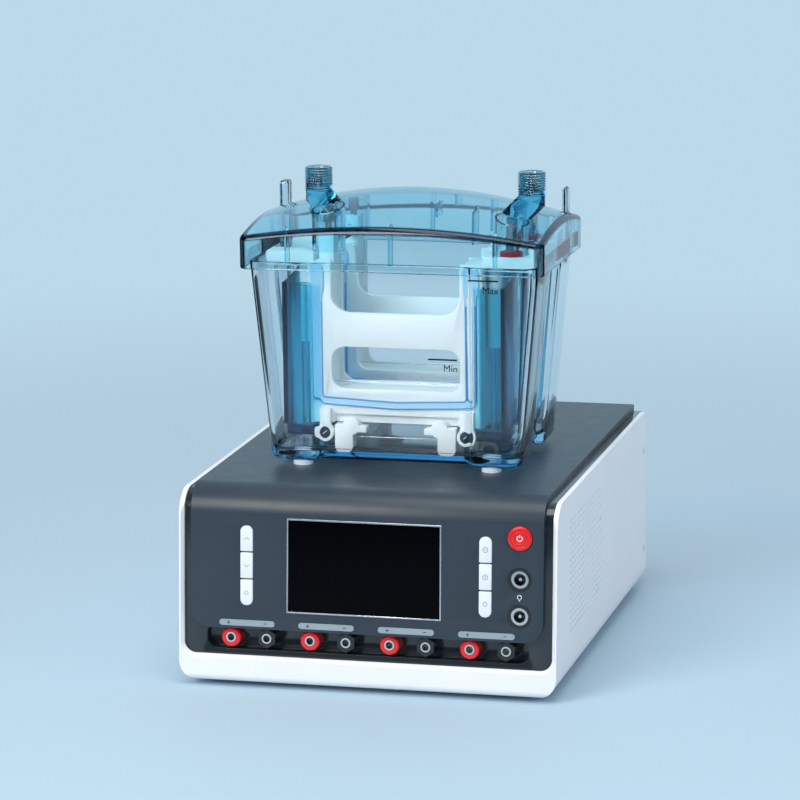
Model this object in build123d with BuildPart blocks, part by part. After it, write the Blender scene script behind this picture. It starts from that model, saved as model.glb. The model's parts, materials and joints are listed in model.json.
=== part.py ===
from build123d import *
from math import cos, radians, sin, tan
import os

os.makedirs("parts", exist_ok=True)

# Vertical gel electrophoresis apparatus: a clear buffer tank with two
# electrode cores stands on its power supply.
# Millimetres, +Z up, front toward -Y, origin under the middle of the footprint.

# Power supply: driving sizes
supply_width = 220.0
supply_depth = 278.0
foot_height = 3.0
foot_radius = 8.0
foot_inset = 26.0
shell_height = 109.0
shell_wall = 2.7
shell_corner = 11.5
shell_lip = 15.5
lip_corner = 7.0
lip_chamfer = 1.8
front_lean = 4.0
shell_top_radius = 16.0
cover_top_radius = 13.0
panel_top_radius = 17.0
rear_edge_radius = 6.0
bottom_edge_radius = 4.0
fit_gap = 0.3
skin = 2.0

# Power supply: cover and raised control panel
cover_setback = 3.0
cover_drop = 0.5
panel_proud = 1.5
panel_rise = 4.3
panel_half_width = supply_width / 2 - 7.5
panel_bottom = 31.8
panel_corner = 11.0
pocket_half_width = supply_width / 2 - 16.0
pocket_bottom = 19.0
pocket_top = 34.0
pocket_corner = 6.5
pocket_depth = 8.0

# Power supply: front fittings, measured up the front face
display_x = -1.0
display_width = 90.0
display_bottom = 0.385 * shell_height
display_height = 0.499 * shell_height
display_rim = 0.9
glass_sink = 0.5
glass_thickness = 1.5
module_margin = 4.0
module_depth = 7.0
key_column_x = supply_width / 2 - 40.6
key_width = 7.3
key_bottom = 0.4165 * shell_height
key_height = 0.135 * shell_height
key_pitch = 0.1427 * shell_height
key_end_radius = 3.5
key_proud = 0.8
key_travel = 1.0
key_gap = 0.25
power_x = supply_width / 2 - 21.0
power_z = shell_height - 18.0
power_radius = 7.0
power_proud = 1.1
jack_heights = (0.4275 * shell_height, 0.62 * shell_height)
jack_radius = 7.0
jack_sleeve_radius = 5.0
jack_bore_radius = 3.4
jack_pin_radius = 0.95
board_height = 0.495 * shell_height
board_thickness = 1.6
socket_count = 4
socket_first_x = 30.3 - supply_width / 2
socket_pair_pitch = (supply_width - 34.0) / socket_count
socket_pitch = 21.0
socket_z = 25.8
socket_radius = 5.7
socket_front = 2.2
socket_stem_radius = 3.6
socket_stem_length = 11.0
socket_nut_radius = 5.4
socket_nut_height = 2.5
sleeve_radius = 2.85
sleeve_bore = 2.0
sleeve_wall_end = 3.0
plate_length = 32.5
plate_height = 3.5
plate_z = 35.1
plate_thickness = 0.4

# Power supply: side vents and screws
vent_rows = 18
vent_columns = 15
vent_row_pitch = 3.73
vent_column_pitch = 6.3
vent_first_y = 42.5 - supply_depth / 2
vent_first_z = 32.6
vent_radius = 0.85
screw_y = supply_depth / 2 - 8.0
screw_heights = (26.0, shell_height - 21.0)
screw_radius = 1.7

# Power supply: rear panel and what it carries
rear_inset = 2.5
inlet_x = 44.0 - supply_width / 2
inlet_z = 40.0
inlet_width = 30.0
inlet_height = 32.0
inlet_body_depth = 26.0
inlet_flange = 2.0
inlet_cavity_width = 24.0
inlet_cavity_height = 16.0
inlet_cavity_depth = 16.0
inlet_cavity_rise = 5.0
inlet_pin_length = 13.0
drawer_width = 22.0
drawer_height = 6.0
drawer_depth = 20.0
drawer_drop = 9.5
drawer_gap = 0.2
switch_x = inlet_x + 38.0
switch_width = 15.0
switch_height = 21.0
switch_depth = 14.0
rocker_radius = 9.6
rocker_tilt = 7.0
fan_x = supply_width / 2 - 65.0
fan_z = 60.0
fan_size = 60.0
fan_depth = 15.0
fan_bore = 28.0
fan_blade_reach = 26.5
fan_hub = 12.0
fan_blades = 7
grille_rings = (9.0, 18.0, 27.0)
grille_wire = 1.6
grille_overlap = 2.0

# Power supply: inside
transformer_x = 52.0 - supply_width / 2
transformer_y = supply_depth / 2 - 99.0
transformer_size = (66.0, 56.0, 58.0)
winding_height = 34.0
winding_overhang = 9.0
board_size = (supply_width - 100.0, supply_depth - 128.0)
board_centre = (supply_width / 2 - 75.0, -5.0)
standoff_height = 8.0
standoff_radius = 3.0
sink_size = (20.0, 90.0, 40.0)
sink_fins = 7
sink_base = 4.0
capacitor_radius = 11.0
capacitor_height = 35.0
capacitor_pitch = 28.0
capacitor_offset = 25.0
capacitor_round = 1.5

# Buffer tank: driving sizes, heights above the top of the supply
tank_x = 1.2
tank_y = -21.0
tank_foot_height = 2.5
tank_foot_radius = 5.75
tank_foot_x = 56.0
tank_foot_y = 43.0
tank_height = 120.0
tank_half_length_top = 85.2
tank_half_width_top = 54.4
tank_half_length_low = 74.6
tank_half_width_low = 51.9
tank_toe_height = 8.0
tank_toe_inset = 2.6
tank_wall = 2.5
tank_floor_clear = 6.2
tank_corner = 9.0
front_flute_half = 42.0
front_flute_depth = 2.0
end_flute_half = 15.0
end_flute_depth = 5.0
flute_slope = 3.0
flute_round = 1.4
prong_outer = tank_half_length_top + 1.5
prong_y = 28.5
prong_width = 10.0
prong_thicknesses = {-1: 5.4, 1: 2.8}
prong_root = 6.0
prong_top = tank_height + 35.0
prong_slot_gap = 0.9

# Lid
lid_half_length = 89.4
lid_half_width = 57.5
lid_corner = 6.0
lid_wall = 2.2
lid_skirt_bottom = tank_height - 4.3
lid_crown = tank_height + 36.2
lid_crown_fall = 16.0
lid_edge_drop = 15.8
lid_edge_fall = 6.6
lid_sections = (-1.06, -0.7, -0.35, 0.0, 0.35, 0.7, 1.06)
rib_thickness = 1.6
rib_reach = 5.6
seat_rib_x = 61.0
fin_length = 12.0
fin_places = ((43.5, -25.0), (22.0, -25.0), (43.5, 25.0), (22.0, 25.0))
fin_bottom = {43.5: tank_height + 9.5, 22.0: tank_height + 24.0}
cup_radius = 9.8
cup_wall = 1.3
cup_gap = 0.6
elbow_radius = 7.6
thread_radius = 8.1
thread_pitch = 1.5
thread_count = 9
thread_start = 0.6
elbow_top = tank_height + 50.8
elbow_knee = tank_height + 34.2
elbow_slant = 13.0
elbow_bend = 9.0
elbow_shifts = (7.9, 10.1)
elbow_y = -20.0
elbow_bore = 5.6
elbow_bore_depth = 12.0
lead_pin_radius = 2.0
lead_pin_length = 10.0
link_width = 2.4
link_height = 7.5
link_z = tank_height + 4.5
strip_thickness = 1.2
strip_bottom = tank_height - 1.5
strip_height = 8.0
strip_spans = ((-14.0, prong_y - 6.6), (prong_y + 6.6, 46.0))

# Electrode cores, each in the tank's frame around its own middle
core_pitch = 57.0
core_half_depth = 14.5
core_half_width = 51.0
core_bottom = 25.2
core_top = tank_height - 0.5
core_face = 4.0
core_arch = 5.1
core_recess = 3.0
core_recess_top = 30.4
core_recess_half = 37.0
window_half = 38.0
chamber_half = 40.0
window_bottom = 45.2
bar_bottom = tank_height - 50.0
bar_top = tank_height - 30.3
window_corner = 7.0
bar_low_round = 8.0
bar_high_round = 11.0
gasket_x = 45.9
gasket_width = 4.6
gasket_depth = 2.0
gasket_proud = 1.0
gasket_low = 38.2
gasket_dip = 1.8
gasket_corner = 5.0
gasket_gap = 0.1
pad_width = 7.0
pad_bottom = tank_height - 20.2
pad_top = tank_height - 3.0
block_inner = 50.0
block_outer = 78.0
block_half_depth = 7.6
block_bottom = tank_height - 6.5
block_top = tank_height + 3.4
end_plate_thickness = 2.2
end_plate_bottom = tank_height - 7.2
end_plate_top = tank_height + 9.5
left_post_x = -42.5
left_post_width = 8.6
left_post_half_depth = 6.0
left_post_top = tank_height + 16.6
right_jack_x = 65.4
jack_post_radius = 2.0
jack_reach = 8.0
ring_radius = 6.5
ring_height = 2.4
pillar_x = 56.0
pillar_radius = 4.2
pillar_bottom = 70.0
leg_reach = 3.5
leg_depth = 9.0
leg_outer = 35.8
leg_inner = 25.2
leg_bottom = 8.7
head_x = 26.3
head_z = 23.6
head_radius = 5.0
arm_tip = 17.2
arm_low = 20.5
arm_high = 23.8
pivot_x = 42.0
pivot_z = 19.7
pivot_radius = 3.5
pivot_gap = 0.25
lug_radius = 5.4
lug_thickness = 4.0
lug_neck_width = 7.0
lug_neck_top = 34.0
barrel_radius = 5.1
wire_radius = 0.3
upper_wire_z = 47.0
lower_wire_z = 17.0

# Clamp wings
wing_inner = 47.5
wing_outer = 65.4
wing_web = 2.4
wing_flange = 2.0
wing_reach = 6.0
wing_bottom = 24.5
wing_top = tank_height - 12.5
wing_arm_low = 16.9
wing_arm_high = 21.9

# Worked-out places
shell_top = foot_height + shell_height
cover_top = shell_top - cover_drop
deck_z = cover_top + panel_rise
lean_tan = tan(radians(front_lean))
floor_top = foot_height + shell_wall
pocket_floor = cover_setback + pocket_depth
cover_back = cover_setback + skin
tank_floor_top = tank_floor_clear + tank_wall
taper_x = (tank_half_length_top - tank_half_length_low) / (tank_height - tank_toe_height)
taper_y = (tank_half_width_top - tank_half_width_low) / (tank_height - tank_toe_height)
rear_face = supply_depth / 2 - rear_inset
inner_half_width = supply_width / 2 - shell_wall

front = Plane(
    origin=(0, -supply_depth / 2, foot_height),
    x_dir=(1, 0, 0),
    z_dir=(0, -cos(radians(front_lean)), sin(radians(front_lean))),
)
rear = Plane(origin=(0, rear_face, 0), x_dir=(1, 0, 0), z_dir=(0, -1, 0))
tank_base = Plane(origin=(tank_x, tank_y, deck_z))


def tank_face(y):
    """Front-facing plane in the tank, sketched in x and height above the supply."""
    return Plane(origin=(tank_x, tank_y + y, deck_z), x_dir=(1, 0, 0), z_dir=(0, -1, 0))


def tank_side(x):
    """Right-facing plane in the tank, sketched in y and height above the supply."""
    return Plane(origin=(tank_x + x, tank_y, deck_z), x_dir=(0, 1, 0), z_dir=(1, 0, 0))


def save(piece, name):
    """Labels a finished piece and writes its file."""
    piece.part.label = name
    export_step(piece.part, f"parts/{name}.step")


def side_profile(proud, top, corner, bottom):
    """Closed side outline: leaning front, rounded upper corner, flat top."""
    rise = top - foot_height
    start = -supply_depth / 2 - proud / cos(radians(front_lean))
    with BuildSketch() as outline:
        with BuildLine():
            Polyline(
                (start + (bottom - foot_height) * lean_tan, bottom),
                (start + rise * lean_tan, top),
                (supply_depth / 2, top),
                (supply_depth / 2, bottom),
                close=True,
            )
        make_face()
        fillet(outline.vertices().sort_by(Axis.X)[:2].sort_by(Axis.Y)[-1], corner)
    return outline.sketch


# White U-shaped shell with its front lip
with BuildPart() as white_shell:
    with BuildSketch(Plane.XZ):
        with Locations((0, foot_height + shell_height / 2)):
            outer_section = Rectangle(supply_width, shell_height)
        fillet(outer_section.vertices().group_by(Axis.Y)[0], shell_corner)
        with BuildSketch(Plane.XY, mode=Mode.PRIVATE) as shell_hollow:
            with Locations((0, floor_top + shell_height / 2)):
                Rectangle(2 * inner_half_width, shell_height)
            fillet(shell_hollow.vertices().group_by(Axis.Y)[0], shell_corner - shell_wall)
        add(shell_hollow.sketch, mode=Mode.SUBTRACT)
    extrude(amount=supply_depth / 2 + 1, both=True)
    with BuildPart(mode=Mode.PRIVATE) as lip:
        with BuildSketch(Plane.XZ):
            with Locations((0, foot_height + shell_height / 2)):
                lip_outer = Rectangle(supply_width, shell_height)
            fillet(lip_outer.vertices().group_by(Axis.Y)[0], shell_corner)
            with BuildSketch(Plane.XY, mode=Mode.PRIVATE) as lip_hole:
                with Locations((0, foot_height + shell_lip + shell_height / 2)):
                    Rectangle(2 * inner_half_width, shell_height)
                fillet(lip_hole.vertices().group_by(Axis.Y)[0], lip_corner)
            add(lip_hole.sketch, mode=Mode.SUBTRACT)
        extrude(amount=supply_depth / 2 + 1)
        with BuildSketch(front):
            Rectangle(3 * supply_width, 3 * supply_width)
        extrude(amount=-shell_wall, mode=Mode.INTERSECT)
    add(lip.part)
    with BuildSketch(front):
        with Locations((0, shell_lip - lip_chamfer + shell_height / 2)):
            lip_bevel = Rectangle(2 * (inner_half_width + lip_chamfer), shell_height)
        fillet(lip_bevel.vertices().group_by(Axis.Y)[0], lip_corner + lip_chamfer)
    extrude(amount=-lip_chamfer, taper=45, mode=Mode.SUBTRACT)
    with BuildSketch(Plane.YZ) as shell_side:
        add(side_profile(0, shell_top, shell_top_radius, foot_height))
        corners = shell_side.vertices().group_by(Axis.X)
        fillet(corners[-1], rear_edge_radius)
        fillet(shell_side.vertices().sort_by(Axis.X)[0], bottom_edge_radius)
    extrude(amount=supply_width / 2, both=True, mode=Mode.INTERSECT)
    vent_points = []
    for row in range(vent_rows):
        for column in range(vent_columns - 2 * (row == 0) - row % 2):
            y = vent_first_y + column * vent_column_pitch
            vent_points.append((y, vent_first_z + row * vent_row_pitch))
    for side in (-1, 1):
        with BuildSketch(Plane.YZ.offset(side * supply_width / 2)):
            with Locations(*vent_points):
                Circle(vent_radius)
            with Locations(*[(screw_y, z) for z in screw_heights]):
                Circle(screw_radius + 0.1)
        extrude(amount=-side * shell_wall, mode=Mode.SUBTRACT)
save(white_shell, "white_shell")

with BuildPart() as side_screws:
    for side in (-1, 1):
        with BuildSketch(Plane.YZ.offset(side * (supply_width / 2 - 0.2))):
            with Locations(*[(screw_y, z) for z in screw_heights]):
                Circle(screw_radius)
        extrude(amount=-side * (shell_wall + 3.0))
save(side_screws, "side_screws")

with BuildPart() as rubber_feet:
    with BuildSketch(Plane.XY):
        with GridLocations(
            supply_width - 2 * foot_inset, supply_depth - 2 * foot_inset, 2, 2
        ):
            Circle(foot_radius)
    extrude(amount=foot_height)
    chamfer(rubber_feet.edges().group_by(Axis.Z)[0], 0.6)
save(rubber_feet, "rubber_feet")

# Dark cover: front and top in one sheet, with the socket pocket
cover_half_width = inner_half_width - fit_gap
cover_bottom = foot_height + shell_lip - 3.5
with BuildPart() as dark_cover:
    with BuildSketch(Plane.YZ):
        add(side_profile(-cover_setback, cover_top, cover_top_radius, cover_bottom))
        add(
            side_profile(-cover_back, cover_top - skin, cover_top_radius - skin, cover_bottom - 1),
            mode=Mode.SUBTRACT,
        )
    extrude(amount=cover_half_width, both=True)
    with BuildSketch(front.offset(-cover_setback)):
        with Locations((0, (pocket_bottom + pocket_top) / 2)):
            RectangleRounded(
                2 * (pocket_half_width + skin),
                pocket_top - pocket_bottom + 2 * skin,
                pocket_corner + skin,
            )
    extrude(amount=-pocket_depth - skin)
    with BuildSketch(front.offset(1)):
        with Locations((0, (pocket_bottom + pocket_top) / 2)):
            RectangleRounded(2 * pocket_half_width, pocket_top - pocket_bottom, pocket_corner)
    extrude(amount=-pocket_floor - 1, mode=Mode.SUBTRACT)
    with BuildSketch(front.offset(-pocket_floor + 1)):
        for pair in range(socket_count):
            for place in (0, socket_pitch):
                with Locations((socket_first_x + pair * socket_pair_pitch + place, socket_z)):
                    Circle(socket_stem_radius + 0.1)
    extrude(amount=-skin - 2, mode=Mode.SUBTRACT)
    with BuildSketch(front.offset(1)):
        with Locations((display_x, display_bottom + display_height / 2)):
            Rectangle(display_width - 2 * module_margin, display_height - 2 * module_margin)
        for side in (-1, 1):
            with Locations((side * key_column_x, key_bottom + key_pitch + key_height / 2)):
                RectangleRounded(
                    key_width + 2 * key_gap,
                    2 * key_pitch + key_height + 2 * key_gap,
                    key_end_radius,
                )
        with Locations((power_x, power_z)):
            Circle(power_radius - 1.5 + key_gap)
        with Locations(*[(power_x, z) for z in jack_heights]):
            Circle(jack_sleeve_radius + 1.0)
    extrude(amount=-cover_back - 3, mode=Mode.SUBTRACT)
save(dark_cover, "dark_cover")

# Raised control panel: a shallow tray folded over the front and the top
panel_front = panel_proud
with BuildPart() as control_panel:
    with BuildSketch(Plane.YZ):
        add(side_profile(panel_front, deck_z, panel_top_radius, foot_height + 8))
        add(
            side_profile(-cover_setback, cover_top, cover_top_radius, foot_height + 7),
            mode=Mode.SUBTRACT,
        )
    extrude(amount=panel_half_width, both=True)
    with BuildSketch(front.offset(10)):
        with Locations((0, panel_bottom + 75)):
            panel_outline = Rectangle(2 * panel_half_width, 150)
        fillet(panel_outline.vertices().group_by(Axis.Y)[0], panel_corner)
    extrude(amount=-supply_depth - 40, mode=Mode.INTERSECT)
    with BuildSketch(Plane.XZ.offset(-supply_depth / 2 + 1.0)):
        Rectangle(3 * supply_width, 3 * supply_width)
    extrude(amount=-5, mode=Mode.SUBTRACT)
    with BuildPart(mode=Mode.PRIVATE) as tray_hollow:
        with BuildSketch(Plane.YZ):
            add(
                side_profile(panel_front - skin, deck_z - skin, panel_top_radius - skin, 10)
            )
            add(
                side_profile(-cover_setback, cover_top, cover_top_radius, 9),
                mode=Mode.SUBTRACT,
            )
        extrude(amount=panel_half_width - skin, both=True)
        with BuildSketch(front.offset(10)):
            with Locations((0, panel_bottom + 7.5 + 75)):
                hollow_outline = Rectangle(2 * (panel_half_width - skin), 150)
            fillet(hollow_outline.vertices().group_by(Axis.Y)[0], panel_corner - skin)
        extrude(amount=-supply_depth - 10, mode=Mode.INTERSECT)
    add(tray_hollow.part, mode=Mode.SUBTRACT)
    with BuildSketch(front.offset(panel_front + 1)):
        with Locations((display_x, display_bottom + display_height / 2)):
            Rectangle(display_width + 0.4, display_height + 0.4)
        for side in (-1, 1):
            with Locations((side * key_column_x, key_bottom + key_pitch + key_height / 2)):
                RectangleRounded(
                    key_width + 2 * key_gap,
                    2 * key_pitch + key_height + 2 * key_gap,
                    key_end_radius + key_gap,
                )
        with Locations((power_x, power_z)):
            Circle(power_radius + key_gap)
        with Locations(*[(power_x, z) for z in jack_heights]):
            Circle(jack_radius)
    extrude(amount=-8, mode=Mode.SUBTRACT)
save(control_panel, "control_panel")

# Display: rim, glass and the module behind them
with BuildPart() as display_frame:
    with BuildSketch(front.offset(panel_front + 0.3)):
        with Locations((display_x, display_bottom + display_height / 2)):
            Rectangle(display_width, display_height)
            Rectangle(
                display_width - 2 * display_rim, display_height - 2 * display_rim,
                mode=Mode.SUBTRACT,
            )
    extrude(amount=-(panel_front + 0.3 + cover_setback))
save(display_frame, "display_frame")

glass_face = panel_front - glass_sink
with BuildPart() as display_glass:
    with BuildSketch(front.offset(glass_face)):
        with Locations((display_x, display_bottom + display_height / 2)):
            Rectangle(display_width - 2 * display_rim - 0.1, display_height - 2 * display_rim - 0.1)
    extrude(amount=-glass_thickness)
save(display_glass, "display_glass")

with BuildPart() as display_module:
    with BuildSketch(front.offset(glass_face - glass_thickness)):
        with Locations((display_x, display_bottom + display_height / 2)):
            Rectangle(
                display_width - 2 * module_margin - 0.4, display_height - 2 * module_margin - 0.4
            )
    extrude(amount=-(cover_back + glass_face - glass_thickness))
    with BuildSketch(front.offset(-cover_back)):
        with Locations((display_x, display_bottom + display_height / 2)):
            Rectangle(display_width + 4, display_height - 2)
    extrude(amount=-module_depth)
save(display_module, "display_module")

# Keys: three on each side of the display, rounded where a column ends
key_names = ("bottom", "middle", "top")
key_back = cover_back + 2.0
for side, side_name in ((-1, "left"), (1, "right")):
    for step, step_name in enumerate(key_names):
        with BuildPart() as key:
            low = key_bottom + step * key_pitch
            with BuildSketch(front.offset(panel_front + key_proud)):
                with Locations((side * key_column_x, low + key_height / 2)):
                    Rectangle(key_width, key_height)
            extrude(amount=-(panel_front + key_proud + key_back))
            upright = key.edges().filter_by(Axis(origin=(0, 0, 0), direction=front.z_dir))
            if step == 0:
                fillet(upright.group_by(Axis.Z)[0], key_end_radius - 0.1)
            if step == 2:
                fillet(upright.group_by(Axis.Z)[-1], key_end_radius - 0.1)
        save(key, f"key_{side_name}_{step_name}")

with BuildPart() as power_button:
    with BuildSketch(front.offset(panel_front + power_proud)):
        with Locations((power_x, power_z)):
            Circle(power_radius)
    extrude(amount=-(power_proud + skin - 0.2))
    fillet(power_button.edges().filter_by(GeomType.CIRCLE).sort_by(Axis.Y)[0], 0.8)
    with BuildSketch(front.offset(panel_front - skin + 0.2)):
        with Locations((power_x, power_z)):
            Circle(power_radius - 1.5)
    extrude(amount=-(key_back + panel_front - skin + 0.2))
save(power_button, "power_button")

board_face = key_back + key_travel + 0.2
key_middle = key_bottom + key_pitch + key_height / 2
board_places = (
    (-key_column_x, key_middle, key_width + 9.0, board_height),
    (key_column_x, key_middle, key_width + 9.0, board_height),
    (power_x, power_z - 0.5, 2 * power_radius + 2.0, 11.0),
)
with BuildPart() as key_board:
    for x, z, width, height in board_places:
        with BuildSketch(front.offset(-cover_back)):
            with Locations((x, z)):
                Rectangle(width, height)
                Rectangle(width - 3.4, height + 1, mode=Mode.SUBTRACT)
        extrude(amount=-(board_face - cover_back))
        with BuildSketch(front.offset(-board_face)):
            with Locations((x, z)):
                Rectangle(width, height)
        extrude(amount=-board_thickness)
save(key_board, "key_board")

with BuildPart() as polarity_plates:
    with BuildSketch(front.offset(panel_front)):
        for pair in range(socket_count):
            middle = socket_first_x + pair * socket_pair_pitch + socket_pitch / 2
            with Locations((middle, plate_z)):
                SlotOverall(plate_length, plate_height)
    extrude(amount=plate_thickness)
save(polarity_plates, "polarity_plates")

# Output sockets: shrouded sleeves for four millimetre plugs
red_places = [(socket_first_x + n * socket_pair_pitch, socket_z) for n in range(socket_count)]
black_places = [(x + socket_pitch, z) for x, z in red_places]
for name, places in (("red_sockets", red_places), ("black_sockets", black_places)):
    with BuildPart() as sockets:
        with BuildSketch(front.offset(-socket_front)):
            with Locations(*places):
                if name == "red_sockets":
                    Circle(socket_radius)
                else:
                    RegularPolygon(socket_radius, 6, rotation=30)
        extrude(amount=-(pocket_floor - socket_front))
        with BuildSketch(front.offset(-pocket_floor)):
            with Locations(*places):
                Circle(socket_stem_radius)
        extrude(amount=-socket_stem_length)
        with BuildSketch(front.offset(-socket_front)):
            with Locations(*places):
                Circle(sleeve_radius)
        extrude(amount=-(pocket_floor + socket_stem_length), mode=Mode.SUBTRACT)
        faces = sockets.faces().filter_by(Axis(origin=(0, 0, 0), direction=front.z_dir))
        rims = faces.sort_by(Axis.Y)[:socket_count]
        if name == "red_sockets":
            fillet([face.outer_wire().edges()[0] for face in rims], 1.2)
    save(sockets, name)

sleeve_length = pocket_floor + socket_stem_length - socket_front + 3.0
with BuildPart() as socket_sleeves:
    with BuildSketch(front.offset(-socket_front + 0.3)):
        with Locations(*red_places, *black_places):
            Circle(sleeve_radius)
    extrude(amount=-sleeve_length)
    with BuildSketch(front.offset(-socket_front + 0.3)):
        with Locations(*red_places, *black_places):
            Circle(sleeve_bore)
    extrude(amount=-(sleeve_length - sleeve_wall_end), mode=Mode.SUBTRACT)
save(socket_sleeves, "socket_sleeves")

with BuildPart() as socket_nuts:
    with BuildSketch(front.offset(-pocket_floor - skin)):
        with Locations(*red_places, *black_places):
            RegularPolygon(socket_nut_radius, 6)
            Circle(socket_stem_radius, mode=Mode.SUBTRACT)
    extrude(amount=-socket_nut_height)
save(socket_nuts, "socket_nuts")

# Lamp jacks below the power button
jack_places = [(power_x, z) for z in jack_heights]
with BuildPart() as lamp_jacks:
    with BuildSketch(front.offset(panel_front)):
        with Locations(*jack_places):
            Circle(jack_radius - 0.1)
    extrude(amount=-(panel_front + cover_setback))
    with BuildSketch(front.offset(-cover_setback)):
        with Locations(*jack_places):
            Circle(jack_sleeve_radius + 0.9)
    extrude(amount=-skin - 4)
    with BuildSketch(front.offset(panel_front)):
        with Locations(*jack_places):
            Circle(jack_sleeve_radius)
    extrude(amount=-(panel_front + cover_setback + skin + 1), mode=Mode.SUBTRACT)
save(lamp_jacks, "lamp_jacks")

jack_floor = cover_setback + skin + 1
with BuildPart() as lamp_jack_contacts:
    with BuildSketch(front.offset(panel_front - 0.6)):
        with Locations(*jack_places):
            Circle(jack_sleeve_radius)
            Circle(jack_bore_radius, mode=Mode.SUBTRACT)
    extrude(amount=-(panel_front - 0.6 + jack_floor))
    with BuildSketch(front.offset(-jack_floor)):
        with Locations(*jack_places):
            Circle(jack_pin_radius)
    extrude(amount=jack_floor - 0.5)
save(lamp_jack_contacts, "lamp_jack_contacts")

# Rear panel with cut-outs for the inlet, the switch and the fan
panel_thickness = 2.0
rear_top = cover_top - skin
with BuildPart() as rear_panel:
    with BuildSketch(rear):
        with Locations((0, (floor_top + rear_top) / 2)):
            rear_outline = Rectangle(2 * cover_half_width, rear_top - floor_top)
        fillet(rear_outline.vertices().group_by(Axis.Y)[0], shell_corner)
        with Locations((inlet_x, inlet_z)):
            Rectangle(inlet_width - 3, inlet_height - 3, mode=Mode.SUBTRACT)
        with Locations((switch_x, inlet_z)):
            Rectangle(switch_width - 2, switch_height - 2, mode=Mode.SUBTRACT)
        with Locations((fan_x, fan_z)):
            Circle(fan_bore, mode=Mode.SUBTRACT)
    extrude(amount=panel_thickness)
save(rear_panel, "rear_panel")

inlet_cavity_z = inlet_z + inlet_cavity_rise
drawer_z = inlet_z - drawer_drop
outlet = rear.offset(-inlet_flange)
with BuildPart() as mains_inlet:
    with BuildSketch(outlet):
        with Locations((inlet_x, inlet_z)):
            Rectangle(inlet_width, inlet_height)
    extrude(amount=inlet_flange)
    with BuildSketch(rear):
        with Locations((inlet_x, inlet_z)):
            Rectangle(inlet_width - 3.4, inlet_height - 3.4)
    extrude(amount=inlet_body_depth)
    with BuildSketch(outlet):
        with Locations((inlet_x, inlet_cavity_z)):
            Rectangle(inlet_cavity_width, inlet_cavity_height)
    extrude(amount=inlet_cavity_depth, mode=Mode.SUBTRACT)
    with BuildSketch(outlet):
        with Locations((inlet_x, drawer_z)):
            Rectangle(drawer_width + 2 * drawer_gap, drawer_height + 2 * drawer_gap)
    extrude(amount=drawer_depth + 0.2, mode=Mode.SUBTRACT)
save(mains_inlet, "mains_inlet")

with BuildPart() as inlet_pins:
    with BuildSketch(outlet.offset(inlet_cavity_depth)):
        with Locations(
            (inlet_x - 7, inlet_cavity_z - 1.5),
            (inlet_x, inlet_cavity_z + 2.5),
            (inlet_x + 7, inlet_cavity_z - 1.5),
        ):
            Rectangle(2, 4)
    extrude(amount=-inlet_pin_length)
save(inlet_pins, "inlet_pins")

with BuildPart() as fuse_drawer:
    with BuildSketch(outlet):
        with Locations((inlet_x, drawer_z)):
            Rectangle(drawer_width, drawer_height)
    extrude(amount=drawer_depth)
    with BuildSketch(Plane.XY.offset(drawer_z + drawer_height / 2)):
        with Locations((inlet_x, rear_face - drawer_depth / 2 + 1)):
            SlotOverall(drawer_width - 4, 6.0)
    extrude(amount=-drawer_height + 1, mode=Mode.SUBTRACT)
save(fuse_drawer, "fuse_drawer")

switch_pivot_y = rear_face - 2.0
with BuildPart() as switch_frame:
    with BuildSketch(outlet.offset(0.6)):
        with Locations((switch_x, inlet_z)):
            Rectangle(switch_width, switch_height)
    extrude(amount=inlet_flange - 0.6)
    with BuildSketch(rear):
        with Locations((switch_x, inlet_z)):
            Rectangle(switch_width - 2.4, switch_height - 2.4)
    extrude(amount=switch_depth)
    with BuildSketch(Plane.YZ.offset(switch_x)):
        with Locations((switch_pivot_y, inlet_z)):
            Circle(rocker_radius - 0.9)
            Rectangle(2 * rocker_radius - 2.6, 2 * rocker_radius - 2.6)
    extrude(amount=switch_width / 2 - 2.2, both=True, mode=Mode.SUBTRACT)
save(switch_frame, "switch_frame")

with BuildPart() as rocker:
    with BuildSketch(Plane.YZ.offset(switch_x)):
        with Locations((switch_pivot_y, inlet_z)):
            Circle(rocker_radius - 1.2)
        reach = rocker_radius + 2.0
        tilt = radians(rocker_tilt)
        with Locations((switch_pivot_y + reach * cos(tilt), inlet_z + reach * sin(tilt))):
            Rectangle(2 * rocker_radius, 3 * rocker_radius, rotation=rocker_tilt, mode=Mode.SUBTRACT)
    extrude(amount=switch_width / 2 - 2.5, both=True)
save(rocker, "rocker")

# Fan: frame against the rear panel, rotor on its hub, wire grille outside
with BuildPart() as fan_frame:
    with BuildSketch(rear.offset(panel_thickness)):
        with Locations((fan_x, fan_z)):
            RectangleRounded(fan_size, fan_size, 4)
            Circle(fan_bore, mode=Mode.SUBTRACT)
    extrude(amount=fan_depth)
    with BuildSketch(rear.offset(panel_thickness + fan_depth - 2.5)):
        with Locations((fan_x, fan_z)):
            Circle(fan_hub)
            Rectangle(2 * fan_bore + 1, 3)
            Rectangle(3, 2 * fan_bore + 1)
    extrude(amount=2.5)
save(fan_frame, "fan_frame")

with BuildPart() as fan_rotor:
    with BuildSketch(rear.offset(panel_thickness + 1)):
        with Locations((fan_x, fan_z)):
            Circle(fan_hub)
    extrude(amount=fan_depth - 3.8)
    blade_plane = Plane(
        origin=(fan_x, rear_face - panel_thickness - fan_depth / 2 + 0.9, fan_z),
        x_dir=(0, 1, 0), z_dir=(1, 0, 0),
    )
    with BuildPart(mode=Mode.PRIVATE) as blade:
        with BuildSketch(blade_plane.offset(fan_hub - 1)):
            Rectangle(1.4, 13, rotation=52)
        extrude(amount=fan_blade_reach - fan_hub)
    for turn in range(fan_blades):
        spin = Axis((fan_x, 0, fan_z), (0, 1, 0))
        add(blade.part.rotate(spin, turn * 360 / fan_blades))
save(fan_rotor, "fan_rotor")

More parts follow.
